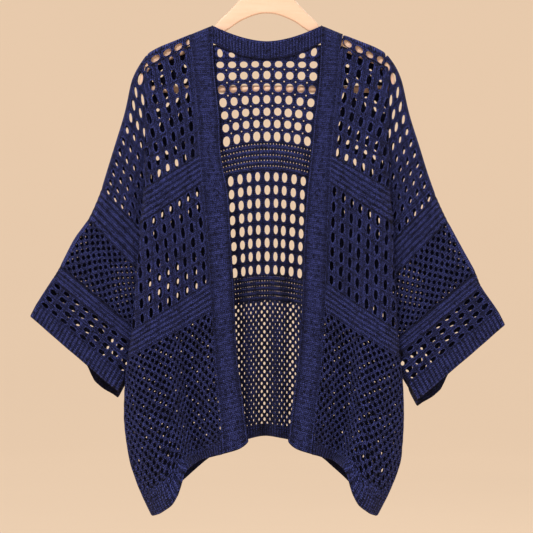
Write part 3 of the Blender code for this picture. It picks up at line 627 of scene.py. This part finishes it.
# stitches in two slanting halves, with the yarn's own twist and unevenness
def yarnMaterial(name):
    material, tree, shader = startMaterial(name, yarn["middle"], yarn["surface"])
    where = makeNode(tree, "ShaderNodeUVMap", {"uv_map": "stitches"}).outputs[0]
    # the yarn's lightness from the mesh, with its painted shade
    height = Value(tree, makeNode(tree, "ShaderNodeAttribute", {"attribute_name": "raised"}).outputs["Fac"])
    apart = makeNode(tree, "ShaderNodeSeparateXYZ", values={0: where})
    shift = (noise(tree, where, 160.0, 1.0) - 0.5) * yarn["wobble"]
    x = Value(tree, apart.outputs[0]) * (1000 / yarn["stitchWide"]) + shift
    y = Value(tree, apart.outputs[1]) * (1000 / yarn["stitchTall"]) + shift * 0.8
    column = x.math("FRACT")
    half = (column * 2).math("FRACT")
    slant = (column - 0.5).math("ABSOLUTE") * yarn["slant"]
    loop = (y + slant).math("FRACT")
    # each loop is lightest in its middle; in the colour this is painted shade in the gaps between loops, and it
    # also drives the bump
    stitch = (1 - (half * 2 - 1) ** 2) * (1 - (loop * 2 - 1) ** 2)
    each = makeNode(tree, "ShaderNodeCombineXYZ", values={0: x.math("FLOOR"), 1: (y + slant).math("FLOOR")})
    own = Value(tree, makeNode(tree, "ShaderNodeTexWhiteNoise", {"noise_dimensions": "2D"},
                               {"Vector": each.outputs[0]}).outputs["Value"])
    fuzz = noise(tree, where, 450.0, 2.0)
    patches = noise(tree, where, 60.0, 3.0)
    tone = stitch * yarn["stitchShade"] + (fuzz - 0.5) * yarn["fuzzTone"] + (own - 0.5) * yarn["ownTone"]
    # a few stitches painted darker, as the shade of small pinholes
    tone = tone - own.math("LESS_THAN", yarn["darkStitches"]) * yarn["darker"]
    # the attribute darkens the colour with the painted shade of grooves, ridges' dips and hidden insides
    shade = (tone + (patches - 0.5) * yarn["patchTone"] - 0.02) * (height * 0.9 + 0.1)
    finishMaterial(tree, shader, ((0.05, yarn["dark"]), (0.40, yarn["middle"]), (0.95, yarn["light"])), shade,
                   yarn["bump"], yarn["bumpDepth"], stitch * 0.8 + fuzz * 0.5)
    return material


wood = {
    "pale": (0.86, 0.60, 0.455, 1), "grain": (0.82, 0.555, 0.40, 1), "stretch": (6, 60, 60), "bump": 0.12,
    "bumpDepth": 0.0004, "surface": {"Roughness": 0.42, "Coat Weight": 0.15, "Coat Roughness": 0.3},
}


def woodMaterial(name):
    material, tree, shader = startMaterial(name, wood["pale"], wood["surface"])
    where = makeNode(tree, "ShaderNodeTexCoord").outputs["Object"]
    stretched = makeNode(tree, "ShaderNodeMapping", values={0: where, "Scale": wood["stretch"]}).outputs[0]
    grain = noise(tree, stretched, 2.2, 6.0, 0.7) * 0.75 + noise(tree, stretched, 30.0, 3.0) * 0.25
    finishMaterial(tree, shader, ((0.36, wood["grain"]), (0.6, wood["pale"])), grain,
                   wood["bump"], wood["bumpDepth"], grain)
    return material


steel = {"colour": (0.62, 0.62, 0.64, 1), "surface": {"Roughness": 0.28, "Metallic": 1}}


# drawn wire, a little uneven in its shine
def steelMaterial(name):
    material, tree, shader = startMaterial(name, steel["colour"], steel["surface"])
    where = makeNode(tree, "ShaderNodeTexCoord").outputs["Object"]
    rough = noise(tree, where, 700.0, 2.0) * 0.16 + 0.2
    tree.links.new(rough.socket, shader.inputs["Roughness"])
    return material


laceYarn = yarnMaterial("navyLace")
ribYarn = yarnMaterial("navyRib")
paleWood = woodMaterial("paleWood")
hookSteel = steelMaterial("hookSteel")
print("materials made")

# Holes are given as strand, width, height and lean. Lace, net and cloth are how far the two sides stand off the
# surface in millimetres, and the flat size in metres.
front = {
    "cell": 13.7, "lace": ((-0.3, 2.9), (0.184, 0.476)), "net": ((-0.1, 2.6), (0.19, 0.49)),
    # column places of the first row, left and right
    "firstColumns": {left: (-5.5, 6, 19.8, 33.6, 47.4, 52), right: (-0.3, 13.1, 26.6, 39.6, 51.6)},
    "firstRow": (0, 1, 18), "first": (1.9, 1.08, 1, 0),
    "rows": (17.5, 42, 67, 92, 118, 143, 168, 191, 214), "upper": (3.3, 0.86, 1.06, -0.04),
    "lowerRows": (259.5, 434, 7), "lower": (3.4, 0.80, 1.04, -0.04),
    # edge and first column of the panel, number of columns
    "edge": -2.5, "upperColumns": (2.5, 9), "lowerColumns": (0.4, 12), "wide": 172,
    # start, stop and number of the ridges, their height, and where the net is as high
    "ridgeBands": ((212, 260.5, 5), (433, 476, 5)), "ridge": 1.4, "highNet": (478, 1000),
    "netRoom": (-4, 172, 473, 702), "netPitch": 10, "netRow": 7.6, "netStrand": 0.7,
    # v, millimetres between columns on the body
    "pitch": ((0, 19), (0.3, 17.5), (0.7, 14.6), (1, 13.5), (2, 14.3), (3, 14.8), (4, 15.3), (6, 15.3)),
}


# how far down the flat panel each course lies, level with its drop when hung
def frontDown():
    vs = np.linspace(0, 6, 241)
    courses = lookUp(drape["courses"], vs)
    return (courses[0] + courses[1]) / 2 - (courses[0, 0] + courses[1, 0]) / 2, vs


def makeFront(side, label):
    downs, vs = frontDown()
    panel = frontCourses[side]

    def spread(x, y):
        v = np.interp(y, downs, vs)
        return x / front["cell"] * lookUp(front["pitch"], v)[0], v

    def surface(x, y):
        distance, v = spread(x, y)
        return frontSurface(side, np.minimum(distance, panel.length(v)), v)

    def onPanel(x, y):
        distance, v = spread(x, y)
        return distance[0] < panel.length(v) - 1

    def columns(start, count):
        return [front["edge"]] + [start + front["cell"] * k for k in range(count + 1)]

    name, node, out = "front" + label, "front_" + label.lower(), -side
    bm = startKnitting()
    knitCells(bm, front["firstColumns"][side], front["firstRow"], seed=3,
              hole=lambda i, j: front["first"] if j == 1 and i < 4 else None)
    upperXs, upperYs = columns(*front["upperColumns"]), front["rows"]
    knitCells(bm, upperXs, upperYs, keep=lambda i, j: onPanel(upperXs[i], upperYs[j + 1]),
              hole=lambda i, j: front["upper"] if i else None, seed=5 + side)
    lowerXs, lowerYs = columns(*front["lowerColumns"]), evenly(*front["lowerRows"])
    knitCells(bm, lowerXs, lowerYs, keep=lambda i, j: onPanel(lowerXs[i], lowerYs[j]),
              hole=lambda i, j: front["lower"] if i else None, seed=8 + side)
    hang(name + "Lace", node, bm, surface, out, front["lace"], laceYarn, ["hanger_body"], level=2)

    bm = startKnitting()
    for start, stop, count in front["ridgeBands"]:
        xs, ys = evenly(front["edge"], front["wide"], 24), evenly(start - 2.5, stop + 2.5, count * 4 + 2)
        knitCells(bm, xs, ys, keep=lambda i, j: onPanel(xs[i], ys[j]))
    knitNet(bm, *front["netRoom"], front["netPitch"], front["netRow"], lambda x, y: front["netStrand"],
            keep=onPanel, seed=11 + side)
    hang(name + "Net", node, bm, surface, out, front["net"], laceYarn, [name + "Lace"], ridgesOf(front),
         roundness=knit["netRoundness"])


for side, label in ((left, "Left"), (right, "Right")):
    makeFront(side, label)
print("fronts knitted")

back = {
    "column": 18, "lace": ((0.2, 2.7), (0.54, 0.39)), "net": ((0.3, 2.3), (0.54, 0.47)),
    "yoke": (2.8, 1, 1, 0), "yokeSides": (3.3, 0.84, 1, 0), "corner": (1.5, 0.6, 1, 0),
    "waist": (2.5, 0.84, 1, 0), "waistSides": (5.4, 0.58, 0.75, 0), "pierce": 0.6,
    # the plain rows over the shoulders, the strip under the neck band and the rows of cells
    "topRows": (-34, -28, -20), "strip": 8,
    "yokeRows": (0, 16, 35.7, 55.9, 76, 95.5, 115, 136.5), "waistRows": (181, 356.5, 8),
    # columns in the middle and on each side, over the yoke and at the waist
    "middleColumns": 9, "yokeColumns": 8, "waistColumns": 10,
    "ridgeBands": ((137, 182, 5), (355, 396, 5)), "ridge": 1.5, "highNet": (398, 1000),
    # small gaps in the ridges' dips: pitch, width, number and how far out they go
    "dotPitch": 5.6, "dotWide": 0.85, "dots": 45, "dotsTo": 118,
    "netTop": 393, "netBottom": 610, "netPitch": 12.2, "netRow": 6.6, "netStrand": 1.5, "netSeam": 112,
    # pitch, row and strand of the net behind the fronts
    "sideNet": (16.5, 9.4, 5.4),
    # where folds close the net's holes, how wide they are and how much yarn they add
    "folds": (-42, 23), "foldWide": 8, "foldYarn": 2.2,
}


def makeBack():
    column, strip, count = back["column"], back["strip"], back["middleColumns"]
    vs = np.linspace(1, 6, 201)
    below = lookUp(drape["back"], vs)[0] - drape["neckDrop"] - 2.0
    downs = np.concatenate([[back["topRows"][0], -strip, 0.0], below])
    places = np.concatenate([[-1.0, 0.0, drape["firstRow"]], vs])

    def surface(x, y):
        return backSurface(x / column, np.interp(y, downs, places))

    half, wide = count / 2 * column, (count / 2 + 10) * column
    middle = evenly(-half, half, count)

    def columns(sideColumns):
        outer = evenly(half, wide - column, sideColumns)[1:] + [wide]
        return [-x for x in reversed(outer)] + middle + outer, len(outer)

    xs, start = columns(back["yokeColumns"])
    ys = [*back["topRows"], -strip, *back["yokeRows"]]

    def keepYoke(i, j):
        if j < 3:
            return i < start - 3 or i >= start + count + 3
        # beside the bar's ends one row is left open, so that the bar goes past
        return not (j == 6 and i in (start - 2, start - 3, start + 10, start + 11))

    def holeYoke(i, j):
        if j == 3:
            return back["corner"] if i - start in (0, 1, 7, 8) else None
        if j < 3 or i == 0 or i == len(xs) - 2:
            return None
        return back["yoke"] if start <= i < start + count else back["yokeSides"]

    bm = startKnitting()
    knitCells(bm, xs, ys, hole=holeYoke, keep=keepYoke, seed=21)
    pierceCrossings(bm, lambda x, y: abs(x) < half - 1 and 5 < y < 130, back["pierce"])
    lowXs, lowStart = columns(back["waistColumns"])
    knitCells(bm, lowXs, evenly(*back["waistRows"]), seed=23, hole=lambda i, j: (
        None if i in (0, len(lowXs) - 2) else
        back["waist"] if lowStart <= i < lowStart + count else back["waistSides"]))
    hang("backLace", "back", bm, surface, 1, back["lace"], laceYarn, ["hanger_body"], level=2, bothSides=True)

    bm = startKnitting()
    dotStart = -back["dotPitch"] * (back["dots"] - 1) / 2
    dots = [dotStart + back["dotPitch"] * k + gap
            for k in range(back["dots"]) for gap in (0.0, back["dotWide"])]
    across = evenly(-wide, dots[0], 7)[:-1] + dots + evenly(dots[-1], wide, 7)[1:]

    def keepRidge(i, j):
        return not (j % 4 == 1 and i % 2 and abs(across[i]) < back["dotsTo"])

    for top, bottom, ridges in back["ridgeBands"]:
        knitCells(bm, across, evenly(top - 2.0, bottom + 2.5, ridges * 4 + 2), keep=keepRidge)

    def strand(x, y):
        fold = max(np.exp(-((x - place) / back["foldWide"]) ** 2) for place in back["folds"])
        return back["netStrand"] + back["foldYarn"] * (fold * min(max((y - 390) / 60, 0.4), 1))

    seam, top, bottom = back["netSeam"], back["netTop"], back["netBottom"]
    knitNet(bm, -seam, seam, top, bottom, back["netPitch"], back["netRow"], strand, seed=25)
    pitch, row, sideStrand = back["sideNet"]
    for x0, x1 in ((-wide, 2 - seam), (seam - 2, wide)):
        knitNet(bm, x0, x1, top, bottom, pitch, row, lambda x, y: sideStrand, seed=26)
    hang("backNet", "back", bm, surface, 1, back["net"], laceYarn, ["backLace"], ridgesOf(back),
         bothSides=True)


makeBack()
print("back knitted")

sleeve = {
    "wide": 187, "lace": ((-0.2, 2.8), (0.187, 0.45)), "net": ((-0.1, 2.6), (0.187, 0.17)),
    "edge": (2, 1, 0.95, 0.15), "head": (3, 0.86, 0.86, 0.26), "headLow": (3.8, 0.80, 0.86, 0.24),
    "rows": (3.5, 24, 45.5, 68, 90.5, 111.5, 131.5, 150.5, 169.5, 187, 204, 220, 236.5),
    # in front (-1) and behind (1): column pitch, and pitch, row and strand of the net
    "columns": {-1: 17.4, 1: 15.6}, "meshes": {-1: (13.5, 7.4, 1.3), 1: (12.1, 6.9, 3.9)},
    # the block above the cuff: top, first row, row pitch, end, and how far the wall behind is shifted
    "cuffHole": (2.5, 0.9, 1.05, 0), "cuffBlock": (401.5, 403, 11.6, 450.5), "behind": 6.3,
    "ridgeBands": ((235, 287, 5), (380, 403, 3)), "ridge": 1.4, "highNet": (289.5, 377),
    "netTop": 284, "netBottom": 384, "netEdge": 5.5,
    # millimetres down the piece, w
    "down": (
        (0, 0), (8, 0.4), (26, 1), (50, 2), (74, 3), (98, 4), (153, 6), (207, 8), (235, 9),
        (287, 10), (328, 11), (380, 12), (403, 13), (449, 14), (475, 15)),
}


def makeSleeve(side, face, label, end):
    downs = np.array(sleeve["down"], float)
    wide = sleeve["wide"]

    def toW(y):
        return np.interp(y, downs[:, 0], downs[:, 1])

    def lengthAt(y):
        return np.interp(toW(y), courseSteps, courseLengths[side])

    def surface(x, y):
        w, length = toW(y), lengthAt(y)
        return sleeveSurface(side, face, np.minimum(x, np.where(w > drape["armpit"], length, length + 3)), w)

    def onSleeve(x, y):
        return x < lengthAt(y) - 1

    def headHole(i, j):
        if i == 0 or j == 0:
            return None
        if i == 1 and j < 3:
            return sleeve["edge"]
        return sleeve["head"] if j < 6 else sleeve["headLow"]

    name, node, outward = "sleeve" + label + end, "sleeve_%s_%s" % (label.lower(), end.lower()), -side * face
    bm = startKnitting()
    pitch = sleeve["columns"][face]
    xs = [0.0, 4.0] + [21.0 + pitch * k for k in range(10) if 21.0 + pitch * k < wide - 3] + [wide]
    ys = [0.0] + list(sleeve["rows"])
    if face > 0:
        ys = ys[:5] + [y + 5.0 * min(k, 2) / 2 for k, y in enumerate(ys[5:-1])] + ys[-1:]
    knitCells(bm, xs, ys, headHole, keep=lambda i, j: onSleeve(xs[i], ys[j + 1]), seed=31 + side + 2 * face)
    top, first, row, last = sleeve["cuffBlock"]
    shift = sleeve["behind"] if face > 0 else 0.0
    cuffYs = [top] + [first + shift + row * k for k in range(5) if first + shift + row * k < 450] + [last]
    cuffXs = [0.0, 3.0 + shift] + evenly(3.0 + shift, wide - 3, 9)[1:] + [wide]
    knitCells(bm, cuffXs, cuffYs, keep=lambda i, j: onSleeve(cuffXs[i], cuffYs[j]), seed=37 + side + 2 * face,
              hole=lambda i, j: None if i in (0, 10) or cuffYs[j + 1] - cuffYs[j] < 8 else sleeve["cuffHole"])
    hang(name + "Lace", node, bm, surface, outward, sleeve["lace"], laceYarn, ["hanger_body"],
         level=1 if face > 0 else 2)

    bm = startKnitting()
    for start, stop, count in sleeve["ridgeBands"]:
        columns, rows = evenly(0, wide, 26), evenly(start - 2.5, stop + 2.5, count * 4 + 2)
        knitCells(bm, columns, rows, keep=lambda i, j: onSleeve(columns[i], rows[j]))
    top, bottom, edge = sleeve["netTop"], sleeve["netBottom"], sleeve["netEdge"]
    across, row, strand = sleeve["meshes"][face]
    knitCells(bm, [0.0, edge], evenly(top, bottom, 20))
    knitNet(bm, edge - 0.5, wide, top, bottom, across, row, lambda x, y: strand, keep=onSleeve,
            seed=41 + side + 2 * face)
    hang(name + "Net", node, bm, surface, outward, sleeve["net"], laceYarn, [name + "Lace"], ridgesOf(sleeve),
         roundness=knit["netRoundness"])


for side, label in ((left, "Left"), (right, "Right")):
    makeSleeve(side, -1, label, "Front")
    makeSleeve(side, 1, label, "Back")
print("sleeves knitted")

band = {
    "ribs": 81, "rib": 0.5, "body": 0.5, "wide": 35.5, "cloth": ((-0.1, 2.4), (0.037, 0.708)),
    "columns": (-1, 0.8, 2.4, 4.4, 10, 18, 26, 31, 33.2, 34.8, 36.4),
    # places of the seams and height left at their small holes, which also paints the holes dark as shade; place
    # and width of the chains, and their height
    "seams": (2.4, 33.2), "pinholeDipAndShade": 0.15, "chains": ((0.8, 1.5), (34.4, 1.7)), "chain": 1.3,
}


def makeBand(side, label):
    count, top = band["ribs"], drape["bandTop"]
    length = drape["bandBottom"] - top
    bm = startKnitting()
    knitCells(bm, band["columns"], evenly(0, length, count * 2))
    raised = bm.verts.layers.float["raised"]
    for vert in bm.verts:
        seam = min(abs(vert.co.x - place) for place in band["seams"]) < 0.1
        # the seams' small holes are sunk and painted dark, as shade
        if seam and round(vert.co.y / length * count * 2) % 2 == 0:
            vert[raised] = band["pinholeDipAndShade"]

    def relief(x, y):
        between = ramp(x, 3, 3) * ramp(-x, -32.5, 3)
        rib = band["rib"] * ribs(y, length, count) * between
        chain = band["chain"] * sum(np.exp(-((x - place) / wide) ** 2) for place, wide in band["chains"])
        return rib + chain * (0.7 + 0.3 * np.sin(y * 1.45)) + band["body"] * between

    hang("band" + label, "band_" + label.lower(), bm,
         lambda x, y: bandSurface(side, x / band["wide"], y + top), -side, band["cloth"], ribYarn,
         ["hanger_body", "front" + label + "Lace"], relief)


neckBand = {
    "ribs": 34, "half": 88.4, "deep": 33.5, "cloth": ((0, 1.6), (0.19, 0.034)),
    "rows": (0, 2.5, 5, 12, 20, 28, 31, 33.5),
    # the free edge's drop in the middle, its rise at the sides, half its width and how it bends
    "freeDrop": 151.5, "freeRise": 25.5, "freeHalf": 88.5, "freeBend": 1.75,
    # depth of the free edge and of the seam, and how far the free edge turns back at the sides
    "depths": (-4.4, -5.4), "turnBack": 3.2,
}


def neckSurface(x, t):
    out = np.abs(x)
    free = neckBand["freeDrop"] - neckBand["freeRise"] * (out / neckBand["freeHalf"]) ** neckBand["freeBend"]
    drop = mixed(free + drape["wall"], neckSeam(x) + 2.0, t)
    y = mixed(*neckBand["depths"], t) + neckBand["turnBack"] * fade(out, 60, 40) * (1 - t)
    return np.stack([x, y, -drop], 1)


def makeNeckBand():
    count, half, deep = neckBand["ribs"], neckBand["half"], neckBand["deep"]
    bm = startKnitting()
    knitCells(bm, evenly(-half, half, count * 4), neckBand["rows"])

    def relief(x, y):
        between = ramp(y, 1, 4) * ramp(-y, -deep, 5)
        return ribs(x, 2 * half, count) * between + np.exp(-((y - 1.5) / 2) ** 2)

    hang("neckBand", "neck_band", bm, lambda x, y: neckSurface(x, y / deep), 1, neckBand["cloth"], ribYarn,
         ["backLace"], relief, bothSides=True)


# first and last are its edges as w on the sleeve
cuff = {"ribs": 50, "rib": 2.4, "deep": 27, "first": 13.97, "last": 15, "wall": (0, 2.4)}


def makeCuff(side, label):
    count, around, deep = cuff["ribs"], 2 * drape["cuffLength"], cuff["deep"]
    segments = count * 4
    bm = startKnitting()
    raised = bm.verts.layers.float["raised"]
    bmesh.ops.create_cone(bm, segments=segments, radius1=1, radius2=1, depth=2)
    sides = [edge for edge in bm.edges if abs(edge.verts[0].co.z - edge.verts[1].co.z) > 1]
    bmesh.ops.subdivide_edges(bm, edges=sides, cuts=5)
    for vert in bm.verts:
        turn = round(atan2(vert.co.y, vert.co.x) / (2 * pi) * segments) % segments
        vert.co = (around * turn / segments, deep * (vert.co.z + 1) / 2, 0)
        vert[raised] = 1.0

    def surface(x, y):
        x = x % around
        w = mixed(cuff["first"], cuff["last"], y / deep)
        length = np.interp(w, courseSteps, courseLengths[side]) / drape["cuffLength"]
        front = sleeveSurface(side, -1, x * length, w)
        behind = sleeveSurface(side, 1, (around - x) * length, w)
        return np.where((x <= around / 2)[:, None], front, behind)

    def relief(x, y):
        return cuff["rib"] * ribs(x, around, count) * ramp(y, -1, 3)

    flat = around * mm, deep * mm
    hang("cuff" + label, "cuff_" + label.lower(), bm, surface, side, (cuff["wall"], flat), ribYarn,
         ["sleeve%sFrontLace" % label, "sleeve%sBackLace" % label], relief, area=flat[0] * flat[1])


# first and last are their edges as v on the panels
hems = {
    "first": 4.96, "last": 6,
    "front": {"ribs": 34, "columnsPerRib": 4, "rows": 5, "rib": 1.1, "wide": 186, "deep": 27,
              "cloth": ((-0.1, 2.3), (0.19, 0.031))},
    "back": {"ribs": 90, "columnsPerRib": 3, "rows": 4, "rib": 1, "wide": 538, "deep": 22,
             "cloth": ((-0.6, 2.3), (0.54, 0.026))},
}


def makeHem(name, node, style, edge, surface, outward, restsOn, bothSides=False):
    wide, deep, count = style["wide"], style["deep"], style["ribs"]
    bm = startKnitting()
    knitCells(bm, edge + evenly(0, wide, count * style["columnsPerRib"]), evenly(0, deep, style["rows"]))
    hang(name, node, bm, lambda x, y: surface(x / wide, mixed(hems["first"], hems["last"], y / deep)),
         outward, style["cloth"], ribYarn, [restsOn], lambda x, y: style["rib"] * ribs(x, wide, count),
         bothSides=bothSides)


makeNeckBand()
makeHem("hemBack", "hem_back", hems["back"], [], lambda share, v: backSurface((share * 2 - 1) * 14.5, v), 1,
        "backNet", bothSides=True)
for side, label in ((left, "Left"), (right, "Right")):
    makeBand(side, label)
    makeCuff(side, label)
    makeHem("hem" + label, "hem_" + label.lower(), hems["front"], [-4.0],
            lambda share, v: frontSurface(side, share * frontCourses[side].length(v), v), -side,
            "front" + label + "Net")
print("bands, cuffs and hems knitted")

# millimetres out from the middle and below the rail
hanger = {
    "depth": 12, "edge": 2.6, "barDrop": 232, "barWide": 12, "barHalf": 202.6,
    "top": (
        (0, 58), (16, 61), (34, 73), (46, 86), (64, 105), (81, 121.5), (88, 131), (112, 142.5), (131, 151),
        (160, 162), (178, 170), (192, 181), (203, 195), (209, 212), (211, 232)),
    "under": (
        (208, 241), (204.5, 238), (203.5, 228), (198, 209), (184, 195), (156, 182), (128, 170), (100, 157),
        (66, 135), (38, 117), (0, 107)),
    # the hook: thickness of the wire, inner radius, and its stem from the wood up
    "wire": 3.6, "inside": 20, "stem": ((0, 57.6), (0, 50), (7, 43.5), (16, 35)),
}


def curvePiece(name, points, cyclic, settings, material, turn=None):
    curve = bpy.data.curves.new(name, "CURVE")
    for key, value in settings.items():
        setattr(curve, key, value)
    spline = curve.splines.new("BEZIER")
    spline.bezier_points.add(len(points) - 1)
    for point, place in zip(spline.bezier_points, points):
        point.co = place
        point.handle_left_type = point.handle_right_type = "AUTO"
    spline.use_cyclic_u = cyclic
    shape = link(name, curve)
    bpy.context.view_layer.update()
    mesh = bpy.data.meshes.new_from_object(shape.evaluated_get(bpy.context.evaluated_depsgraph_get()))
    bpy.data.objects.remove(shape)
    if turn:
        mesh.transform(turn)
    mesh.materials.clear()
    bm = bmesh.new()
    bm.from_mesh(mesh)
    bmesh.ops.remove_doubles(bm, verts=bm.verts, dist=1e-6)
    bmesh.ops.recalc_face_normals(bm, faces=bm.faces)
    return makePiece(name, bm, material, mesh)


def makeHanger():
    half = [*hanger["top"], *hanger["under"]]
    outline = half + [(-x, drop) for x, drop in reversed(half[1:-1])]
    edge = hanger["edge"] * mm
    body = curvePiece("hangerArms", [(x * mm, -drop * mm, 0) for x, drop in outline], True, {
        "dimensions": "2D", "fill_mode": "BOTH", "extrude": hanger["depth"] / 2 * mm - edge,
        "bevel_depth": edge, "bevel_resolution": 3, "offset": -edge, "resolution_u": 6},
        paleWood, Matrix.Rotation(pi / 2, 4, "X"))
    attach(body, "hanger_body", "pale_wood")

    bm = bmesh.new()
    radius = hanger["barWide"] / 2 * mm
    bmesh.ops.create_cone(bm, cap_ends=True, segments=40, radius1=radius, radius2=radius,
                          depth=2 * hanger["barHalf"] * mm)
    bmesh.ops.rotate(bm, verts=bm.verts, cent=(0, 0, 0), matrix=Matrix.Rotation(pi / 2, 3, "Y"))
    bmesh.ops.translate(bm, verts=bm.verts, vec=(0, 0, -hanger["barDrop"] * mm))
    attach(makePiece("barRound", bm, paleWood), "hanger_bar", "pale_wood")

    inside = hanger["inside"]
    radius = inside + hanger["wire"] / 2
    bend = [(radius * cos(radians(turn)), inside - radius * sin(radians(turn)))
            for turn in range(-15, 206, 20)]
    path = [(x * mm, 0, -drop * mm) for x, drop in [*hanger["stem"], *bend]]
    hook = curvePiece("hookWire", path, False, {
        "dimensions": "3D", "bevel_depth": hanger["wire"] / 2 * mm, "bevel_resolution": 4,
        "use_fill_caps": True, "resolution_u": 8}, hookSteel)
    attach(hook, "hook", "hook_steel")


makeHanger()
print("hanger made")

# metres; the lights are given as place, aim, size, power and colour
studio = {
    "room": (0.80, 0.61, 0.44), "glow": 0.815, "dim": 0.25, "wide": 8, "tall": 6, "bend": 1.5,
    "floorDrop": 1.35, "sky": (1, 0.97, 0.94, 1), "skyPower": 0.3,
    # the camera's distance, the width it sees there and its place
    "camera": 4, "frame": 0.8795, "middle": (-0.0008, -0.5247),
    "key": ((-0.9, -2.3, 1.7), (0, 0, -0.5), 0.9, 70, (1, 0.985, 0.97)),
    "fill": ((1.7, -2.8, -1), (0, 0.2, -0.9), 1.4, 20, (1, 0.985, 0.975)),
    "rear": ((1.6, 3.2, 1.6), (0, 0, -0.5), 1.4, 40, (1, 0.985, 0.97)),
}


def shaded(colour, share):
    return (*[channel * share for channel in colour], 1)


# a round studio, open above, whose floor runs up into its wall
def makeRoom():
    colour = studio["room"]
    material, tree, shader = startMaterial("roomWall", shaded(colour, studio["dim"]), {
        "Roughness": 0.95, "Emission Strength": studio["glow"]})
    where = makeNode(tree, "ShaderNodeTexCoord").outputs["Object"]
    plaster = noise(tree, where, 1.5, 3.0)
    stops = (0.3, shaded(colour, 0.99)), (0.7, shaded(colour, 1))
    glow = makeNode(tree, "ShaderNodeValToRGB", {"stops": stops}, {0: plaster})
    tree.links.new(glow.outputs[0], shader.inputs["Emission Color"])
    wide, floor, bend = studio["wide"], -studio["floorDrop"], studio["bend"]
    curve = [(wide - bend + bend * sin(radians(turn)), floor + bend - bend * cos(radians(turn)))
             for turn in range(0, 91, 10)]
    bm = bmesh.new()
    line = [bm.verts.new((x, 0, z)) for x, z in [(0.0, floor), *curve, (wide, studio["tall"])]]
    edges = [bm.edges.new(pair) for pair in zip(line, line[1:])]
    bmesh.ops.spin(bm, geom=line + edges, cent=(0, 0, 0), axis=(0, 0, 1), angle=2 * pi, steps=72,
                   use_merge=True)
    bmesh.ops.remove_doubles(bm, verts=bm.verts, dist=0.001)
    bmesh.ops.recalc_face_normals(bm, faces=bm.faces)
    bmesh.ops.reverse_faces(bm, faces=bm.faces)
    makePiece("room", bm, material)


def addLight(name):
    place, aim, size, power, colour = studio[name]
    light = bpy.data.lights.new(name, "AREA")
    light.shape = "RECTANGLE"
    light.size = light.size_y = size
    light.energy = power
    light.color = colour
    lamp = link(name, light)
    lamp.location = place
    lamp.rotation_euler = (Vector(aim) - Vector(place)).to_track_quat("-Z", "Y").to_euler()


def makeLightAndCamera():
    scene = bpy.context.scene
    scene.world = bpy.data.worlds.new("studio")
    scene.world.use_nodes = True
    sky = scene.world.node_tree.nodes["Background"]
    sky.inputs[0].default_value = studio["sky"]
    sky.inputs[1].default_value = studio["skyPower"]
    for name in ("key", "fill", "rear"):
        addLight(name)
    camera = bpy.data.cameras.new("camera")
    camera.sensor_width = 36
    camera.lens = 36 * studio["camera"] / studio["frame"]
    eye = link("camera", camera)
    eye.location = (studio["middle"][0], -studio["camera"], studio["middle"][1])
    eye.rotation_euler = (pi / 2, 0, 0)
    scene.camera = eye
    scene.view_settings.view_transform = "Standard"


makeRoom()
makeLightAndCamera()
print("room, light and camera placed")
